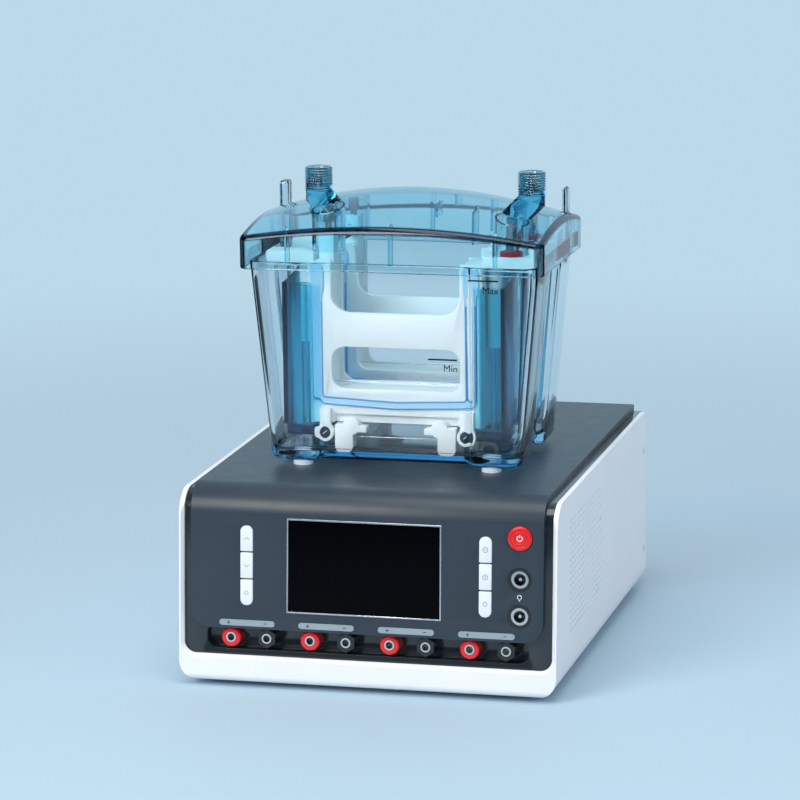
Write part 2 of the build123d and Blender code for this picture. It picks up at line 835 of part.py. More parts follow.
with BuildPart() as fan_grille:
    with BuildSketch(rear.offset(-grille_wire)):
        with Locations((fan_x, fan_z)):
            for radius in grille_rings:
                Circle(radius + grille_wire / 2)
                Circle(radius - grille_wire / 2, mode=Mode.SUBTRACT)
            Rectangle(2 * (fan_bore + grille_overlap), grille_wire, rotation=45)
            Rectangle(2 * (fan_bore + grille_overlap), grille_wire, rotation=-45)
    extrude(amount=grille_wire)
save(fan_grille, "fan_grille")

# Inside: transformer, main board on standoffs, heat sink, capacitors
core_length, core_width, core_high = transformer_size
with BuildPart() as transformer_core:
    with BuildSketch(Plane.XY.offset(floor_top)):
        with Locations((transformer_x, transformer_y)):
            Rectangle(core_length, core_width - 2 * winding_overhang)
    extrude(amount=core_high)
    with BuildSketch(Plane.XZ.offset(-transformer_y)):
        for side in (-1, 1):
            with Locations((transformer_x + side * core_length / 4, floor_top + core_high / 2)):
                Rectangle(core_length / 4, winding_height)
    extrude(amount=core_width, both=True, mode=Mode.SUBTRACT)
save(transformer_core, "transformer_core")

with BuildPart() as transformer_winding:
    with BuildSketch(Plane.XY.offset(floor_top + core_high / 2 - winding_height / 2 + fit_gap)):
        with Locations((transformer_x, transformer_y)):
            RectangleRounded(0.75 * core_length - 2 * fit_gap, core_width, 6)
            Rectangle(
                core_length / 4 + 2 * fit_gap,
                core_width - 2 * winding_overhang + 2 * fit_gap,
                mode=Mode.SUBTRACT,
            )
    extrude(amount=winding_height - 2 * fit_gap)
save(transformer_winding, "transformer_winding")

board_x, board_y = board_centre
board_length, board_width = board_size
board_z = floor_top + standoff_height
with BuildPart() as board_standoffs:
    with BuildSketch(Plane.XY.offset(floor_top)):
        with Locations((board_x, board_y)):
            with GridLocations(board_length - 12, board_width - 12, 2, 2):
                Circle(standoff_radius)
    extrude(amount=standoff_height)
save(board_standoffs, "board_standoffs")

with BuildPart() as main_board:
    with BuildSketch(Plane.XY.offset(board_z)):
        with Locations((board_x, board_y)):
            Rectangle(board_length, board_width)
    extrude(amount=board_thickness)
save(main_board, "main_board")

sink_x = board_x + board_length / 2 - 20
sink_width, sink_length, sink_height = sink_size
with BuildPart() as heat_sink:
    with BuildSketch(Plane.XZ.offset(-(board_y - sink_length / 2))):
        with Locations((sink_x, board_z + board_thickness + sink_height / 2)):
            Rectangle(sink_base, sink_height)
            fin_pitch = (sink_height - 2) / (sink_fins - 1)
            for fin in range(sink_fins):
                with Locations((0, -sink_height / 2 + 1 + fin * fin_pitch)):
                    Rectangle(sink_width, 2)
    extrude(amount=-sink_length)
save(heat_sink, "heat_sink")

with BuildPart() as capacitors:
    with BuildSketch(Plane.XY.offset(board_z + board_thickness)):
        with Locations((board_x - capacitor_offset, board_y)):
            with GridLocations(capacitor_pitch, capacitor_pitch, 1, 3):
                Circle(capacitor_radius)
    extrude(amount=capacitor_height)
    fillet(capacitors.edges().group_by(Axis.Z)[-1], capacitor_round)
save(capacitors, "capacitors")


def tank_outline(height, inset=0.0):
    """Plan of the tank at a height: rounded corner lobes with flutes between."""
    rise = max(height - tank_toe_height, 0)
    toe = tank_toe_inset * max(tank_toe_height - height, 0) / (tank_toe_height - tank_foot_height)
    a = tank_half_length_low + taper_x * rise - toe - inset
    b = tank_half_width_low + taper_y * rise - toe - inset
    f = front_flute_half + inset
    e = end_flute_half + inset
    quarter = [
        (f, b - front_flute_depth),
        (f + flute_slope, b),
        (a, b),
        (a, e + flute_slope),
        (a - end_flute_depth, e),
    ]
    points = quarter + [(x, -y) for x, y in reversed(quarter)]
    points += [(-x, -y) for x, y in quarter] + [(-x, y) for x, y in reversed(quarter)]
    with BuildSketch(tank_base.offset(height)) as outline:
        with BuildLine():
            Polyline(*points, close=True)
        make_face()
        lobes = outline.vertices().filter_by(
            lambda v: abs(v.X) > a - 0.01 and abs(v.Y) > b - 0.01
        )
        fillet(lobes, tank_corner - inset)
    return outline.sketch


def crown_solid(drop):
    """Solid under the lid's crown, lowered by drop: arcs across, falling toward the ends."""
    reach = lid_half_width + 3
    with BuildPart() as crown:
        for share in lid_sections:
            ridge = lid_crown - drop - lid_crown_fall * share**2
            edge = lid_crown - drop - lid_edge_drop - lid_edge_fall * share**2
            rise = ridge - edge
            radius = (lid_half_width**2 + rise**2) / (2 * rise)
            low = ridge - radius + (radius**2 - reach**2) ** 0.5
            with BuildSketch(tank_side(share * lid_half_length)):
                with BuildLine():
                    ThreePointArc((-reach, low), (0, ridge), (reach, low))
                    Polyline(
                        (reach, low),
                        (reach, lid_skirt_bottom - 10),
                        (-reach, lid_skirt_bottom - 10),
                        (-reach, low),
                    )
                make_face()
        loft()
    return crown.part


# Buffer tank: tapered, fluted, open above, on four feet
with BuildPart() as tank:
    loft([tank_outline(tank_foot_height), tank_outline(tank_toe_height)], ruled=True)
    loft([tank_outline(tank_toe_height), tank_outline(tank_height)], ruled=True)
    loft(
        [tank_outline(tank_floor_top, tank_wall), tank_outline(tank_height, tank_wall)],
        ruled=True,
        mode=Mode.SUBTRACT,
    )
    with BuildSketch(tank_base):
        Rectangle(2 * front_flute_half, 4 * tank_half_width_top)
        Rectangle(4 * tank_half_length_top, 2 * end_flute_half)
    extrude(amount=tank_floor_clear, mode=Mode.SUBTRACT)
    for side, thickness in prong_thicknesses.items():
        with BuildSketch(tank_base.offset(tank_height - prong_root)):
            with Locations((side * (prong_outer - thickness / 2), prong_y)):
                Rectangle(thickness, prong_width)
        extrude(amount=prong_top - tank_height + prong_root)
save(tank, "tank")

with BuildPart() as tank_feet:
    with BuildSketch(tank_base):
        with GridLocations(2 * tank_foot_x, 2 * tank_foot_y, 2, 2):
            Circle(tank_foot_radius)
    extrude(amount=tank_foot_height)
save(tank_feet, "tank_feet")

# Where the jacks of the two cores meet the lid
jack_xs = (left_post_x, right_jack_x)
jack_ys = (-core_pitch / 2, core_pitch / 2)
jack_tops = {left_post_x: left_post_top, right_jack_x: block_top}
lid_jacks = [(x, y) for x in jack_xs for y in jack_ys]


with BuildPart() as lid:
    with BuildSketch(tank_base.offset(lid_skirt_bottom)):
        RectangleRounded(2 * lid_half_length, 2 * lid_half_width, lid_corner)
    extrude(amount=lid_crown)
    add(crown_solid(0), mode=Mode.INTERSECT)
    with BuildPart(mode=Mode.PRIVATE) as lid_hollow:
        with BuildSketch(tank_base.offset(lid_skirt_bottom - 1)):
            RectangleRounded(
                2 * (lid_half_length - lid_wall),
                2 * (lid_half_width - lid_wall),
                lid_corner - lid_wall,
            )
        extrude(amount=lid_crown)
        add(crown_solid(lid_wall), mode=Mode.INTERSECT)
        for x, y in lid_jacks:
            low = jack_tops[x] if x == right_jack_x else block_top
            with BuildSketch(tank_base.offset(low + cup_gap)):
                with Locations((x, y)):
                    Circle(cup_radius)
                    Circle(cup_radius - cup_wall, mode=Mode.SUBTRACT)
            extrude(amount=60, mode=Mode.SUBTRACT)
        for x in (-seat_rib_x, 0, seat_rib_x):
            for side in (-1, 1):
                with BuildSketch(tank_base.offset(tank_height)):
                    with Locations((x, side * (lid_half_width - lid_wall - rib_reach / 2 + 1))):
                        Rectangle(rib_thickness, rib_reach + 2)
                extrude(amount=40, mode=Mode.SUBTRACT)
        for x, y in fin_places:
            with BuildSketch(tank_base.offset(fin_bottom[x])):
                with Locations((x, y)):
                    Rectangle(rib_thickness, fin_length)
            extrude(amount=40, mode=Mode.SUBTRACT)
    add(lid_hollow.part, mode=Mode.SUBTRACT)
    for side, thickness in prong_thicknesses.items():
        with BuildSketch(tank_base.offset(tank_height + 5)):
            with Locations((side * (prong_outer - thickness / 2), prong_y)):
                Rectangle(thickness + 2 * prong_slot_gap, prong_width + 2 * prong_slot_gap)
        extrude(amount=60, mode=Mode.SUBTRACT)
save(lid, "lid")

# Lead elbows beside the front pair of cups, threaded outside, open above
elbow_places = [(left_post_x - elbow_shifts[0], -1), (right_jack_x + elbow_shifts[1], 1)]
with BuildPart() as lead_elbows:
    for x, side in elbow_places:
        foot = (x - side * elbow_slant, elbow_knee - elbow_slant)
        with BuildLine(tank_face(elbow_y)) as elbow_path:
            FilletPolyline((x, elbow_top), (x, elbow_knee), foot, radius=elbow_bend)
        with BuildSketch(tank_base.offset(elbow_top)):
            with Locations((x, elbow_y)):
                Circle(elbow_radius)
        middle_line = elbow_path.wire()
        sweep(path=middle_line)
        for turn in range(thread_count):
            share = (thread_start + turn * thread_pitch) / middle_line.length
            spot = middle_line.position_at(share)
            with BuildSketch(Plane(origin=spot, z_dir=middle_line.tangent_at(share))):
                Circle(thread_radius)
                Circle(elbow_radius - 0.5, mode=Mode.SUBTRACT)
            extrude(amount=thread_pitch / 2)
        with BuildSketch(tank_base.offset(elbow_top)):
            with Locations((x, elbow_y)):
                Circle(elbow_bore)
        extrude(amount=-elbow_bore_depth, mode=Mode.SUBTRACT)
    add(crown_solid(0), mode=Mode.SUBTRACT)
save(lead_elbows, "lead_elbows")

with BuildPart() as lead_pins:
    with BuildSketch(tank_base.offset(elbow_top - elbow_bore_depth)):
        with Locations(*[(x, elbow_y) for x, side in elbow_places]):
            Circle(lead_pin_radius)
    extrude(amount=lead_pin_length)
    fillet(lead_pins.edges().group_by(Axis.Z)[-1], 0.8)
save(lead_pins, "lead_pins")

contact_radius = 3.2
with BuildPart() as lid_contacts:
    for x, y in lid_jacks:
        low = jack_tops[x] + 3.2
        with BuildSketch(tank_base.offset(low)):
            with Locations((x, y)):
                Circle(contact_radius)
        extrude(amount=60)
        with BuildSketch(tank_base.offset(low)):
            with Locations((x, y)):
                Circle(jack_post_radius + fit_gap)
        extrude(amount=jack_reach, mode=Mode.SUBTRACT)
    add(crown_solid(lid_wall), mode=Mode.INTERSECT)
save(lid_contacts, "lid_contacts")

# Link strips join the front and the rear contact on each side, and mark the lid's two ends
link_half = core_pitch / 2 - cup_radius
for name, x, side in (("red_link", right_jack_x, 1), ("black_link", left_post_x, -1)):
    with BuildPart() as link:
        with BuildSketch(tank_base.offset(link_z)):
            with Locations((x, 0)):
                Rectangle(link_width, 2 * link_half)
        extrude(amount=link_height)
        with BuildSketch(tank_base.offset(strip_bottom)):
            for near, far in strip_spans:
                with Locations((side * (lid_half_length - lid_wall - strip_thickness / 2), (near + far) / 2)):
                    Rectangle(strip_thickness, far - near)
        extrude(amount=strip_height)
    save(link, name)


def leg_profile(side):
    """Foot of a core: a round head, an arm toward the middle and a leg."""
    with BuildSketch() as profile:
        with BuildLine():
            Polyline(
                (side * leg_outer, arm_high + 0.7),
                (side * leg_outer, leg_bottom),
                (side * leg_inner, leg_bottom),
                (side * leg_inner, arm_low),
                (side * arm_tip, arm_low),
                (side * arm_tip, arm_high),
                (side * head_x, arm_high + 0.7),
                close=True,
            )
        make_face()
        low = profile.vertices().group_by(Axis.Y)[0]
        fillet(low, 3.0)
        with Locations((side * head_x, head_z)):
            Circle(head_radius)
    return profile.sketch


def gasket_band(half_width, x_shift):
    """U-shaped band with a shallow V below, as wide as twice half_width."""
    outer = gasket_x + half_width
    inner = gasket_x - half_width
    with BuildSketch() as band:
        with BuildLine():
            Polyline(
                (-outer, pad_bottom + 3),
                (-outer, gasket_low - half_width),
                (x_shift, gasket_low - gasket_dip - half_width),
                (outer, gasket_low - half_width),
                (outer, pad_bottom + 3),
                close=True,
            )
        make_face()
        fillet(band.vertices().filter_by(lambda v: v.Y < gasket_low and abs(v.X) > 1), gasket_corner)
        with BuildSketch(Plane.XY, mode=Mode.PRIVATE) as gap:
            with BuildLine():
                Polyline(
                    (-inner, pad_bottom + 9),
                    (-inner, gasket_low + half_width),
                    (x_shift, gasket_low - gasket_dip + half_width),
                    (inner, gasket_low + half_width),
                    (inner, pad_bottom + 9),
                    close=True,
                )
            make_face()
            fillet(
                gap.vertices().filter_by(lambda v: v.Y < gasket_low + half_width + 0.1 and abs(v.X) > 1),
                gasket_corner - 2.0,
            )
        add(gap.sketch, mode=Mode.SUBTRACT)
        grow = half_width - gasket_width / 2
        with Locations((-gasket_x, (pad_bottom + pad_top) / 2), (gasket_x, (pad_bottom + pad_top) / 2)):
            SlotOverall(
                pad_top - pad_bottom + 2 * grow, pad_width + 2 * grow, rotation=90
            )
    return band.sketch


def make_core(prefix, middle):
    """One electrode core around its middle: frame, gaskets, conductors, pins, wings."""
    face = middle - core_half_depth
    end_plate_middle = (end_plate_bottom + end_plate_top) / 2
    back = middle + core_half_depth

    with BuildPart() as frame:
        with BuildSketch(tank_face(back)) as body:
            with Locations((0, (core_bottom + core_top) / 2)):
                Rectangle(2 * core_half_width, core_top - core_bottom)
            fillet(body.vertices().group_by(Axis.Y)[-1], core_arch)
            with Locations((0, core_top)):
                Rectangle(2 * window_half, 2 * (core_top - window_bottom), mode=Mode.SUBTRACT)
            corners = body.vertices().filter_by(
                lambda v: abs(abs(v.X) - window_half) < 0.1 and v.Y < window_bottom + 1
            )
            fillet(corners, window_corner)
        extrude(amount=2 * core_half_depth)
        with BuildSketch(tank_face(back - core_face)) as chamber:
            with Locations((0, core_top)):
                Rectangle(2 * chamber_half, 2 * (core_top - window_bottom) + 2)
        extrude(amount=2 * core_half_depth - 2 * core_face, mode=Mode.SUBTRACT)
        with BuildSketch(tank_face(face + core_face)) as bar:
            with Locations((0, (bar_bottom + bar_top) / 2)):
                Rectangle(2 * window_half + 1, bar_top - bar_bottom + 2 * bar_low_round)
            with Locations((0, bar_bottom - 2 * bar_low_round)):
                RectangleRounded(
                    2 * window_half, 4 * bar_low_round, bar_low_round, mode=Mode.SUBTRACT
                )
            with Locations((0, bar_top + 2 * bar_high_round)):
                RectangleRounded(
                    2 * window_half, 4 * bar_high_round, bar_high_round, mode=Mode.SUBTRACT
                )
        extrude(amount=core_face)
        with BuildSketch(tank_face(face + core_recess)) as recess:
            with Locations((0, (core_bottom + core_recess_top) / 2)):
                Rectangle(2 * core_recess_half, core_recess_top - core_bottom)
        extrude(amount=core_recess, mode=Mode.SUBTRACT)
        with BuildSketch(tank_face(face + gasket_depth)):
            add(gasket_band(gasket_width / 2 + gasket_gap, 0))
        extrude(amount=gasket_depth, mode=Mode.SUBTRACT)
        with BuildSketch(tank_face(back)):
            add(gasket_band(gasket_width / 2 + gasket_gap, 0))
        extrude(amount=gasket_depth, mode=Mode.SUBTRACT)
        for side in (-1, 1):
            for near in (face - leg_reach + leg_depth, back + leg_reach):
                with BuildSketch(tank_face(near)):
                    add(leg_profile(side))
                extrude(amount=leg_depth)
            for near in (face - leg_reach + lug_thickness, back + leg_reach):
                with BuildSketch(tank_face(near)):
                    with Locations((side * pivot_x, pivot_z)):
                        Circle(lug_radius)
                    with Locations((side * pivot_x, (pivot_z + lug_neck_top) / 2)):
                        Rectangle(lug_neck_width, lug_neck_top - pivot_z)
                extrude(amount=lug_thickness)
            with BuildSketch(tank_face(middle + block_half_depth)):
                with Locations((side * (block_inner + block_outer) / 2, (block_bottom + block_top) / 2)):
                    Rectangle(block_outer - block_inner, block_top - block_bottom)
                if side == 1:
                    with Locations((block_outer + end_plate_thickness / 2, end_plate_middle)):
                        Rectangle(end_plate_thickness, end_plate_top - end_plate_bottom)
            extrude(amount=2 * block_half_depth)
            with BuildSketch(tank_base.offset(pillar_bottom)):
                with Locations((side * pillar_x, middle)):
                    Circle(pillar_radius)
            extrude(amount=block_bottom - pillar_bottom)
            with BuildSketch(tank_face(back + leg_reach + 1)):
                with Locations((side * pivot_x, pivot_z)):
                    Circle(pivot_radius + 0.05)
            extrude(amount=2 * (core_half_depth + leg_reach) + 2, mode=Mode.SUBTRACT)
        with BuildSketch(tank_base.offset(core_top - 12)):
            with Locations((left_post_x, middle)):
                Rectangle(left_post_width, 2 * left_post_half_depth)
        extrude(amount=left_post_top - core_top + 12)
    save(frame, f"{prefix}_core_frame")

    with BuildPart() as gaskets:
        with BuildSketch(tank_face(face + gasket_depth)):
            add(gasket_band(gasket_width / 2, 0))
        extrude(amount=gasket_depth + gasket_proud)
        with BuildSketch(tank_face(back + gasket_proud)):
            add(gasket_band(gasket_width / 2, 0))
        extrude(amount=gasket_depth + gasket_proud)
    save(gaskets, f"{prefix}_core_gaskets")

    with BuildPart() as conductors:
        for x in jack_xs:
            with BuildSketch(tank_base.offset(jack_tops[x])):
                with Locations((x, middle)):
                    Circle(jack_post_radius)
            extrude(amount=jack_reach)
        with BuildSketch(tank_side(-chamber_half)):
            with Locations((middle, upper_wire_z)):
                Circle(wire_radius)
        extrude(amount=2 * chamber_half)
        with BuildSketch(tank_side(-leg_inner)):
            with Locations((face - leg_reach + leg_depth / 2, lower_wire_z)):
                Circle(wire_radius)
        extrude(amount=2 * leg_inner)
    save(conductors, f"{prefix}_core_conductors")

    with BuildPart() as pins:
        for side in (-1, 1):
            with BuildSketch(tank_face(back + leg_reach)):
                with Locations((side * pivot_x, pivot_z)):
                    Circle(pivot_radius)
            extrude(amount=2 * (core_half_depth + leg_reach))
    save(pins, f"{prefix}_core_pivot_pins")

    with BuildPart() as red_ring:
        with BuildSketch(tank_base.offset(block_top)):
            with Locations((right_jack_x, middle)):
                Circle(ring_radius)
                Circle(jack_post_radius + 0.1, mode=Mode.SUBTRACT)
        extrude(amount=ring_height)
    save(red_ring, f"{prefix}_core_red_ring")

    barrel_half = core_half_depth + leg_reach - lug_thickness - fit_gap
    flange_face = core_half_depth + wing_reach
    for side, side_name in ((-1, "left"), (1, "right")):
        with BuildPart() as wing:
            with BuildSketch(tank_base.offset(wing_bottom)):
                with Locations((side * (wing_inner + wing_outer) / 2, middle)):
                    Rectangle(wing_outer - wing_inner, 2 * flange_face)
                with Locations((side * (wing_inner + wing_outer - wing_web) / 2 - side * wing_web / 2, middle)):
                    Rectangle(
                        wing_outer - wing_inner,
                        2 * (flange_face - wing_flange),
                        mode=Mode.SUBTRACT,
                    )
            extrude(amount=wing_top - wing_bottom)
            with BuildSketch(tank_face(middle + barrel_half)):
                with Locations((side * (wing_outer - wing_web / 2), (wing_arm_low + wing_bottom) / 2 + 1)):
                    Rectangle(wing_web, wing_bottom - wing_arm_low + 2)
                with Locations((side * (pivot_x + wing_outer) / 2, (wing_arm_low + wing_arm_high) / 2)):
                    Rectangle(wing_outer - pivot_x, wing_arm_high - wing_arm_low)
                with Locations((side * pivot_x, pivot_z)):
                    Circle(barrel_radius)
                    Circle(pivot_radius + pivot_gap, mode=Mode.SUBTRACT)
            extrude(amount=2 * barrel_half)
        save(wing, f"{prefix}_core_wing_{side_name}")


make_core("front", -core_pitch / 2)
make_core("rear", core_pitch / 2)
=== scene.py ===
import json
import math

import bmesh
import bpy
import numpy as np
from mathutils import Matrix, Vector


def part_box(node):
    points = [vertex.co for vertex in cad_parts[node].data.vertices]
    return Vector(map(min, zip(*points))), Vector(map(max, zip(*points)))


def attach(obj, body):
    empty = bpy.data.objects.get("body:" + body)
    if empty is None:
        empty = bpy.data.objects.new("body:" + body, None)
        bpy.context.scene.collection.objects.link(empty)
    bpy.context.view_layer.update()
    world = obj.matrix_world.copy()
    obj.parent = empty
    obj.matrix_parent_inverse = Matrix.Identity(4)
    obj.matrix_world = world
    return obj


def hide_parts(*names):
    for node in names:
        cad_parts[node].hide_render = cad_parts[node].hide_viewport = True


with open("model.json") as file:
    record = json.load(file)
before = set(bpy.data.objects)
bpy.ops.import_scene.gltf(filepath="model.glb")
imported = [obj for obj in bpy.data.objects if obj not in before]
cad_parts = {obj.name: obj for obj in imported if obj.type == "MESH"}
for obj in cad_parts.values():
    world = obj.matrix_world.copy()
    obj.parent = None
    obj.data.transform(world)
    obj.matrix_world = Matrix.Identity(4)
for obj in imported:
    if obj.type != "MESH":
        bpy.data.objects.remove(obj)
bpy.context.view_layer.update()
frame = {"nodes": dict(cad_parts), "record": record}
NODES = frame["nodes"]
MM = 0.001

# Places shared with the part's source, in millimetres
FRONT_LEAN = math.radians(4.0)
FRONT_Y = -139.0
FOOT_HEIGHT = 3.0
DECK_Z = 115.8
TANK_X = 1.2
TANK_Y = -21.0
LID_LONG = 89.4
LID_WIDE = 57.5
LID_WALL = 2.2
LID_LOW = 115.7
LID_CROWN = 156.2
RIDGE_FALL = 16.0
EDGE_DROP = 15.8
EDGE_FALL = 6.6
ELBOW_TOP = 170.8
ELBOW_RADIUS = 7.2
THREAD_PITCH = 1.5
THREAD_DEPTH = 0.9
THREAD_START = 0.3
THREAD_LOW = 157.2
CORE_Y = {"front": -28.5, "rear": 28.5}
SIDES = {"left": -1, "right": 1}


# Materials


class Nodes:
    """The node tree of a new material, or of a world, with short ways to add and join nodes."""

    def __init__(self, name, world=None):
        self.material = world or bpy.data.materials.new(name)
        self.material.use_nodes = True
        self.tree = self.material.node_tree
        self.tree.nodes.clear()
        self.out = self.add("ShaderNodeOutputWorld" if world else "ShaderNodeOutputMaterial")
        self.coords = self.add("ShaderNodeTexCoord").outputs["Generated" if world else "Object"]

    def add(self, kind, **values):
        node = self.tree.nodes.new(kind)
        for key, value in values.items():
            setattr(node, key, value)
        return node

    def join(self, source, target):
        self.tree.links.new(source, target)

    def noise(self, scale, detail=3.0, rough=0.5, vector=None):
        node = self.add("ShaderNodeTexNoise")
        node.inputs["Scale"].default_value = scale
        node.inputs["Detail"].default_value = detail
        node.inputs["Roughness"].default_value = rough
        self.join(vector or self.coords, node.inputs["Vector"])
        return node.outputs["Fac"]

    def span(self, fac, low, high):
        """Linear map of a 0 to 1 value onto low to high."""
        node = self.add("ShaderNodeMapRange")
        node.inputs["To Min"].default_value = low
        node.inputs["To Max"].default_value = high
        self.join(fac, node.inputs["Value"])
        return node.outputs["Result"]

    def math(self, operation, first, second=0.0, third=0.0):
        """Math node on sockets or plain numbers."""
        node = self.add("ShaderNodeMath", operation=operation)
        for index, value in enumerate((first, second, third)):
            if isinstance(value, (int, float)):
                node.inputs[index].default_value = value
            else:
                self.join(value, node.inputs[index])
        return node.outputs[0]

    def ramp(self, value, start, stop, low=0.0, high=1.0):
        """Smooth rise from low to high as a value goes from start to stop."""
        node = self.add("ShaderNodeMapRange", interpolation_type="SMOOTHSTEP")
        node.inputs["From Min"].default_value = start
        node.inputs["From Max"].default_value = stop
        node.inputs["To Min"].default_value = low
        node.inputs["To Max"].default_value = high
        self.join(value, node.inputs["Value"])
        return node.outputs["Result"]

    def axes(self):
        """The coordinates' x, y and z."""
        node = self.add("ShaderNodeSeparateXYZ")
        self.join(self.coords, node.inputs[0])
        return node.outputs

    def blend(self, fac, first, second):
        """Colour ramp between two colours."""
        node = self.add("ShaderNodeValToRGB")
        node.color_ramp.elements[0].color = (*first, 1.0)
        node.color_ramp.elements[1].color = (*second, 1.0)
        self.join(fac, node.inputs["Fac"])
        return node.outputs["Color"]

    def bump(self, height, strength, distance):
        node = self.add("ShaderNodeBump")
        node.inputs["Strength"].default_value = strength
        node.inputs["Distance"].default_value = distance
        self.join(height, node.inputs["Height"])
        return node.outputs["Normal"]

    def mixed(self, fac, first, second):
        """Makes the surface a mix of two shaders: the first at 0, the second at 1."""
        mix = self.add("ShaderNodeMixShader")
        for socket, source in zip(mix.inputs, (fac, first, second)):
            self.join(source, socket)
        self.join(mix.outputs["Shader"], self.out.inputs["Surface"])

    def principled(self, **values):
        node = self.add("ShaderNodeBsdfPrincipled")
        for key, value in values.items():
            node.inputs[key.replace("_", " ")].default_value = value
        return node


def shade(color, amount):
    """The colour times amount, kept under one."""
    return tuple(min(c * amount, 1.0) for c in color)


def solid(name, color, rough, grain=900.0, bump=0.06, vary=0.04, metallic=0.0, coat=0.0, specular=0.5):
    """Moulded, painted or plated finish: fine grain in the bump, slow drift in colour and gloss."""
    n = Nodes(name)
    p = n.principled(Metallic=metallic, Specular_IOR_Level=specular, Coat_Weight=coat)
    p.inputs["Coat Roughness"].default_value = 0.06
    drift = n.noise(38.0)
    n.join(n.blend(drift, shade(color, 1 - vary), shade(color, 1 + vary)), p.inputs["Base Color"])
    n.join(n.span(n.noise(120.0), rough * 0.85, rough * 1.15), p.inputs["Roughness"])
    n.join(n.bump(n.noise(grain, detail=2.0), bump, 0.0002), p.inputs["Normal"])
    n.join(p.outputs["BSDF"], n.out.inputs["Surface"])
    return n.material


def lid_edge_shade_mask(n):
    """Painted shade mask: 1 on the lid's rounded upper edge, on its four corners and on its lower rim, 0
    elsewhere; where it is 1 the clear lid's base colour turns nearly black, painting the dark lines that its
    edges show.

    The crown's height is taken as C - 16uu - 15.8vv + 9.4uuvv, with u and v the shares of the half
    length and the half width. The edge is what lies less than about 2.6 mm under it and less than
    about 3.2 mm from the outside, with a soft border.
    """
    x, y, z = n.axes()
    u = n.math("MULTIPLY", n.math("SUBTRACT", x, TANK_X * MM), 1 / (LID_LONG * MM))
    v = n.math("MULTIPLY", n.math("SUBTRACT", y, TANK_Y * MM), 1 / (LID_WIDE * MM))
    uu = n.math("MULTIPLY", u, u)
    vv = n.math("MULTIPLY", v, v)
    top = n.math("MULTIPLY_ADD", uu, -RIDGE_FALL * MM, (DECK_Z + LID_CROWN) * MM)
    top = n.math("MULTIPLY_ADD", vv, -EDGE_DROP * MM, top)
    top = n.math("MULTIPLY_ADD", n.math("MULTIPLY", uu, vv), (RIDGE_FALL - EDGE_FALL) * MM, top)
    below = n.math("SUBTRACT", top, z)
    far, near = 3.8, 2.6
    near_end = n.ramp(n.math("ABSOLUTE", u), 1 - far / LID_LONG, 1 - near / LID_LONG)
    near_side = n.ramp(n.math("ABSOLUTE", v), 1 - far / LID_WIDE, 1 - near / LID_WIDE)
    upper = n.math("MULTIPLY", n.math("MAXIMUM", near_end, near_side), n.ramp(below, 0.0031, 0.0021))
    far_x = n.ramp(n.math("ABSOLUTE", u), 1 - 6.0 / LID_LONG, 1 - 2.0 / LID_LONG, 0.0, 0.75)
    far_y = n.ramp(n.math("ABSOLUTE", v), 1 - 6.0 / LID_WIDE, 1 - 2.0 / LID_WIDE)
    corner = n.math("MULTIPLY", far_x, far_y)
    rim = n.ramp(z, (DECK_Z + LID_LOW + 0.7) * MM, (DECK_Z + LID_LOW + 0.2) * MM, 0.0, 0.6)
    return n.math("MAXIMUM", n.math("MAXIMUM", upper, corner), rim)


def thread_groove_shade_mask(n):
    """Painted shade: dark grooves between the ribs of the threaded elbows, by height, and none below the
    thread.
    """
    z = n.axes()["Z"]
    turn = 2 * math.pi / (THREAD_PITCH * MM)
    first = (DECK_Z + ELBOW_TOP - THREAD_START) * MM
    wave = n.math("COSINE", n.math("MULTIPLY_ADD", z, turn, -turn * first))
    groove = n.ramp(wave, 0.1, 0.8, 0.0, 0.75)
    low = (DECK_Z + THREAD_LOW) * MM
    return n.math("MULTIPLY", groove, n.ramp(z, low, low + 0.0004))


def clear(name, tint, density, shadow, rough=0.005, ior=1.46, ripple=0.012, edges=None):
    """Clear moulded plastic, tinted by its thickness, that lamps reach through, with faint flow ripples, and
    painted shade where an edges mask is given.
    """
    n = Nodes(name)
    p = n.principled(IOR=ior)
    p.inputs["Transmission Weight"].default_value = 1.0
    if edges:
        # Painted shade: where the edges mask is 1 the base colour goes nearly black
        n.join(n.blend(edges(n), (0.985, 0.995, 1.0), (0.004, 0.012, 0.03)), p.inputs["Base Color"])
    else:
        n.join(n.blend(n.noise(30.0), (0.975, 0.985, 0.99), (0.995, 1.0, 1.0)), p.inputs["Base Color"])
    n.join(n.span(n.noise(60.0), rough, rough * 2), p.inputs["Roughness"])
    n.join(n.bump(n.noise(45.0, detail=1.0), ripple, 0.0006), p.inputs["Normal"])
    if density:
        body = n.add("ShaderNodeVolumeAbsorption")
        body.inputs["Color"].default_value = (*tint, 1.0)
        body.inputs["Density"].default_value = density
        n.join(body.outputs["Volume"], n.out.inputs["Volume"])
    through = n.add("ShaderNodeBsdfTransparent")
    through.inputs["Color"].default_value = (*shadow, 1.0)
    shadow_ray = n.add("ShaderNodeLightPath").outputs["Is Shadow Ray"]
    n.mixed(shadow_ray, p.outputs["BSDF"], through.outputs["BSDF"])
    return n.material


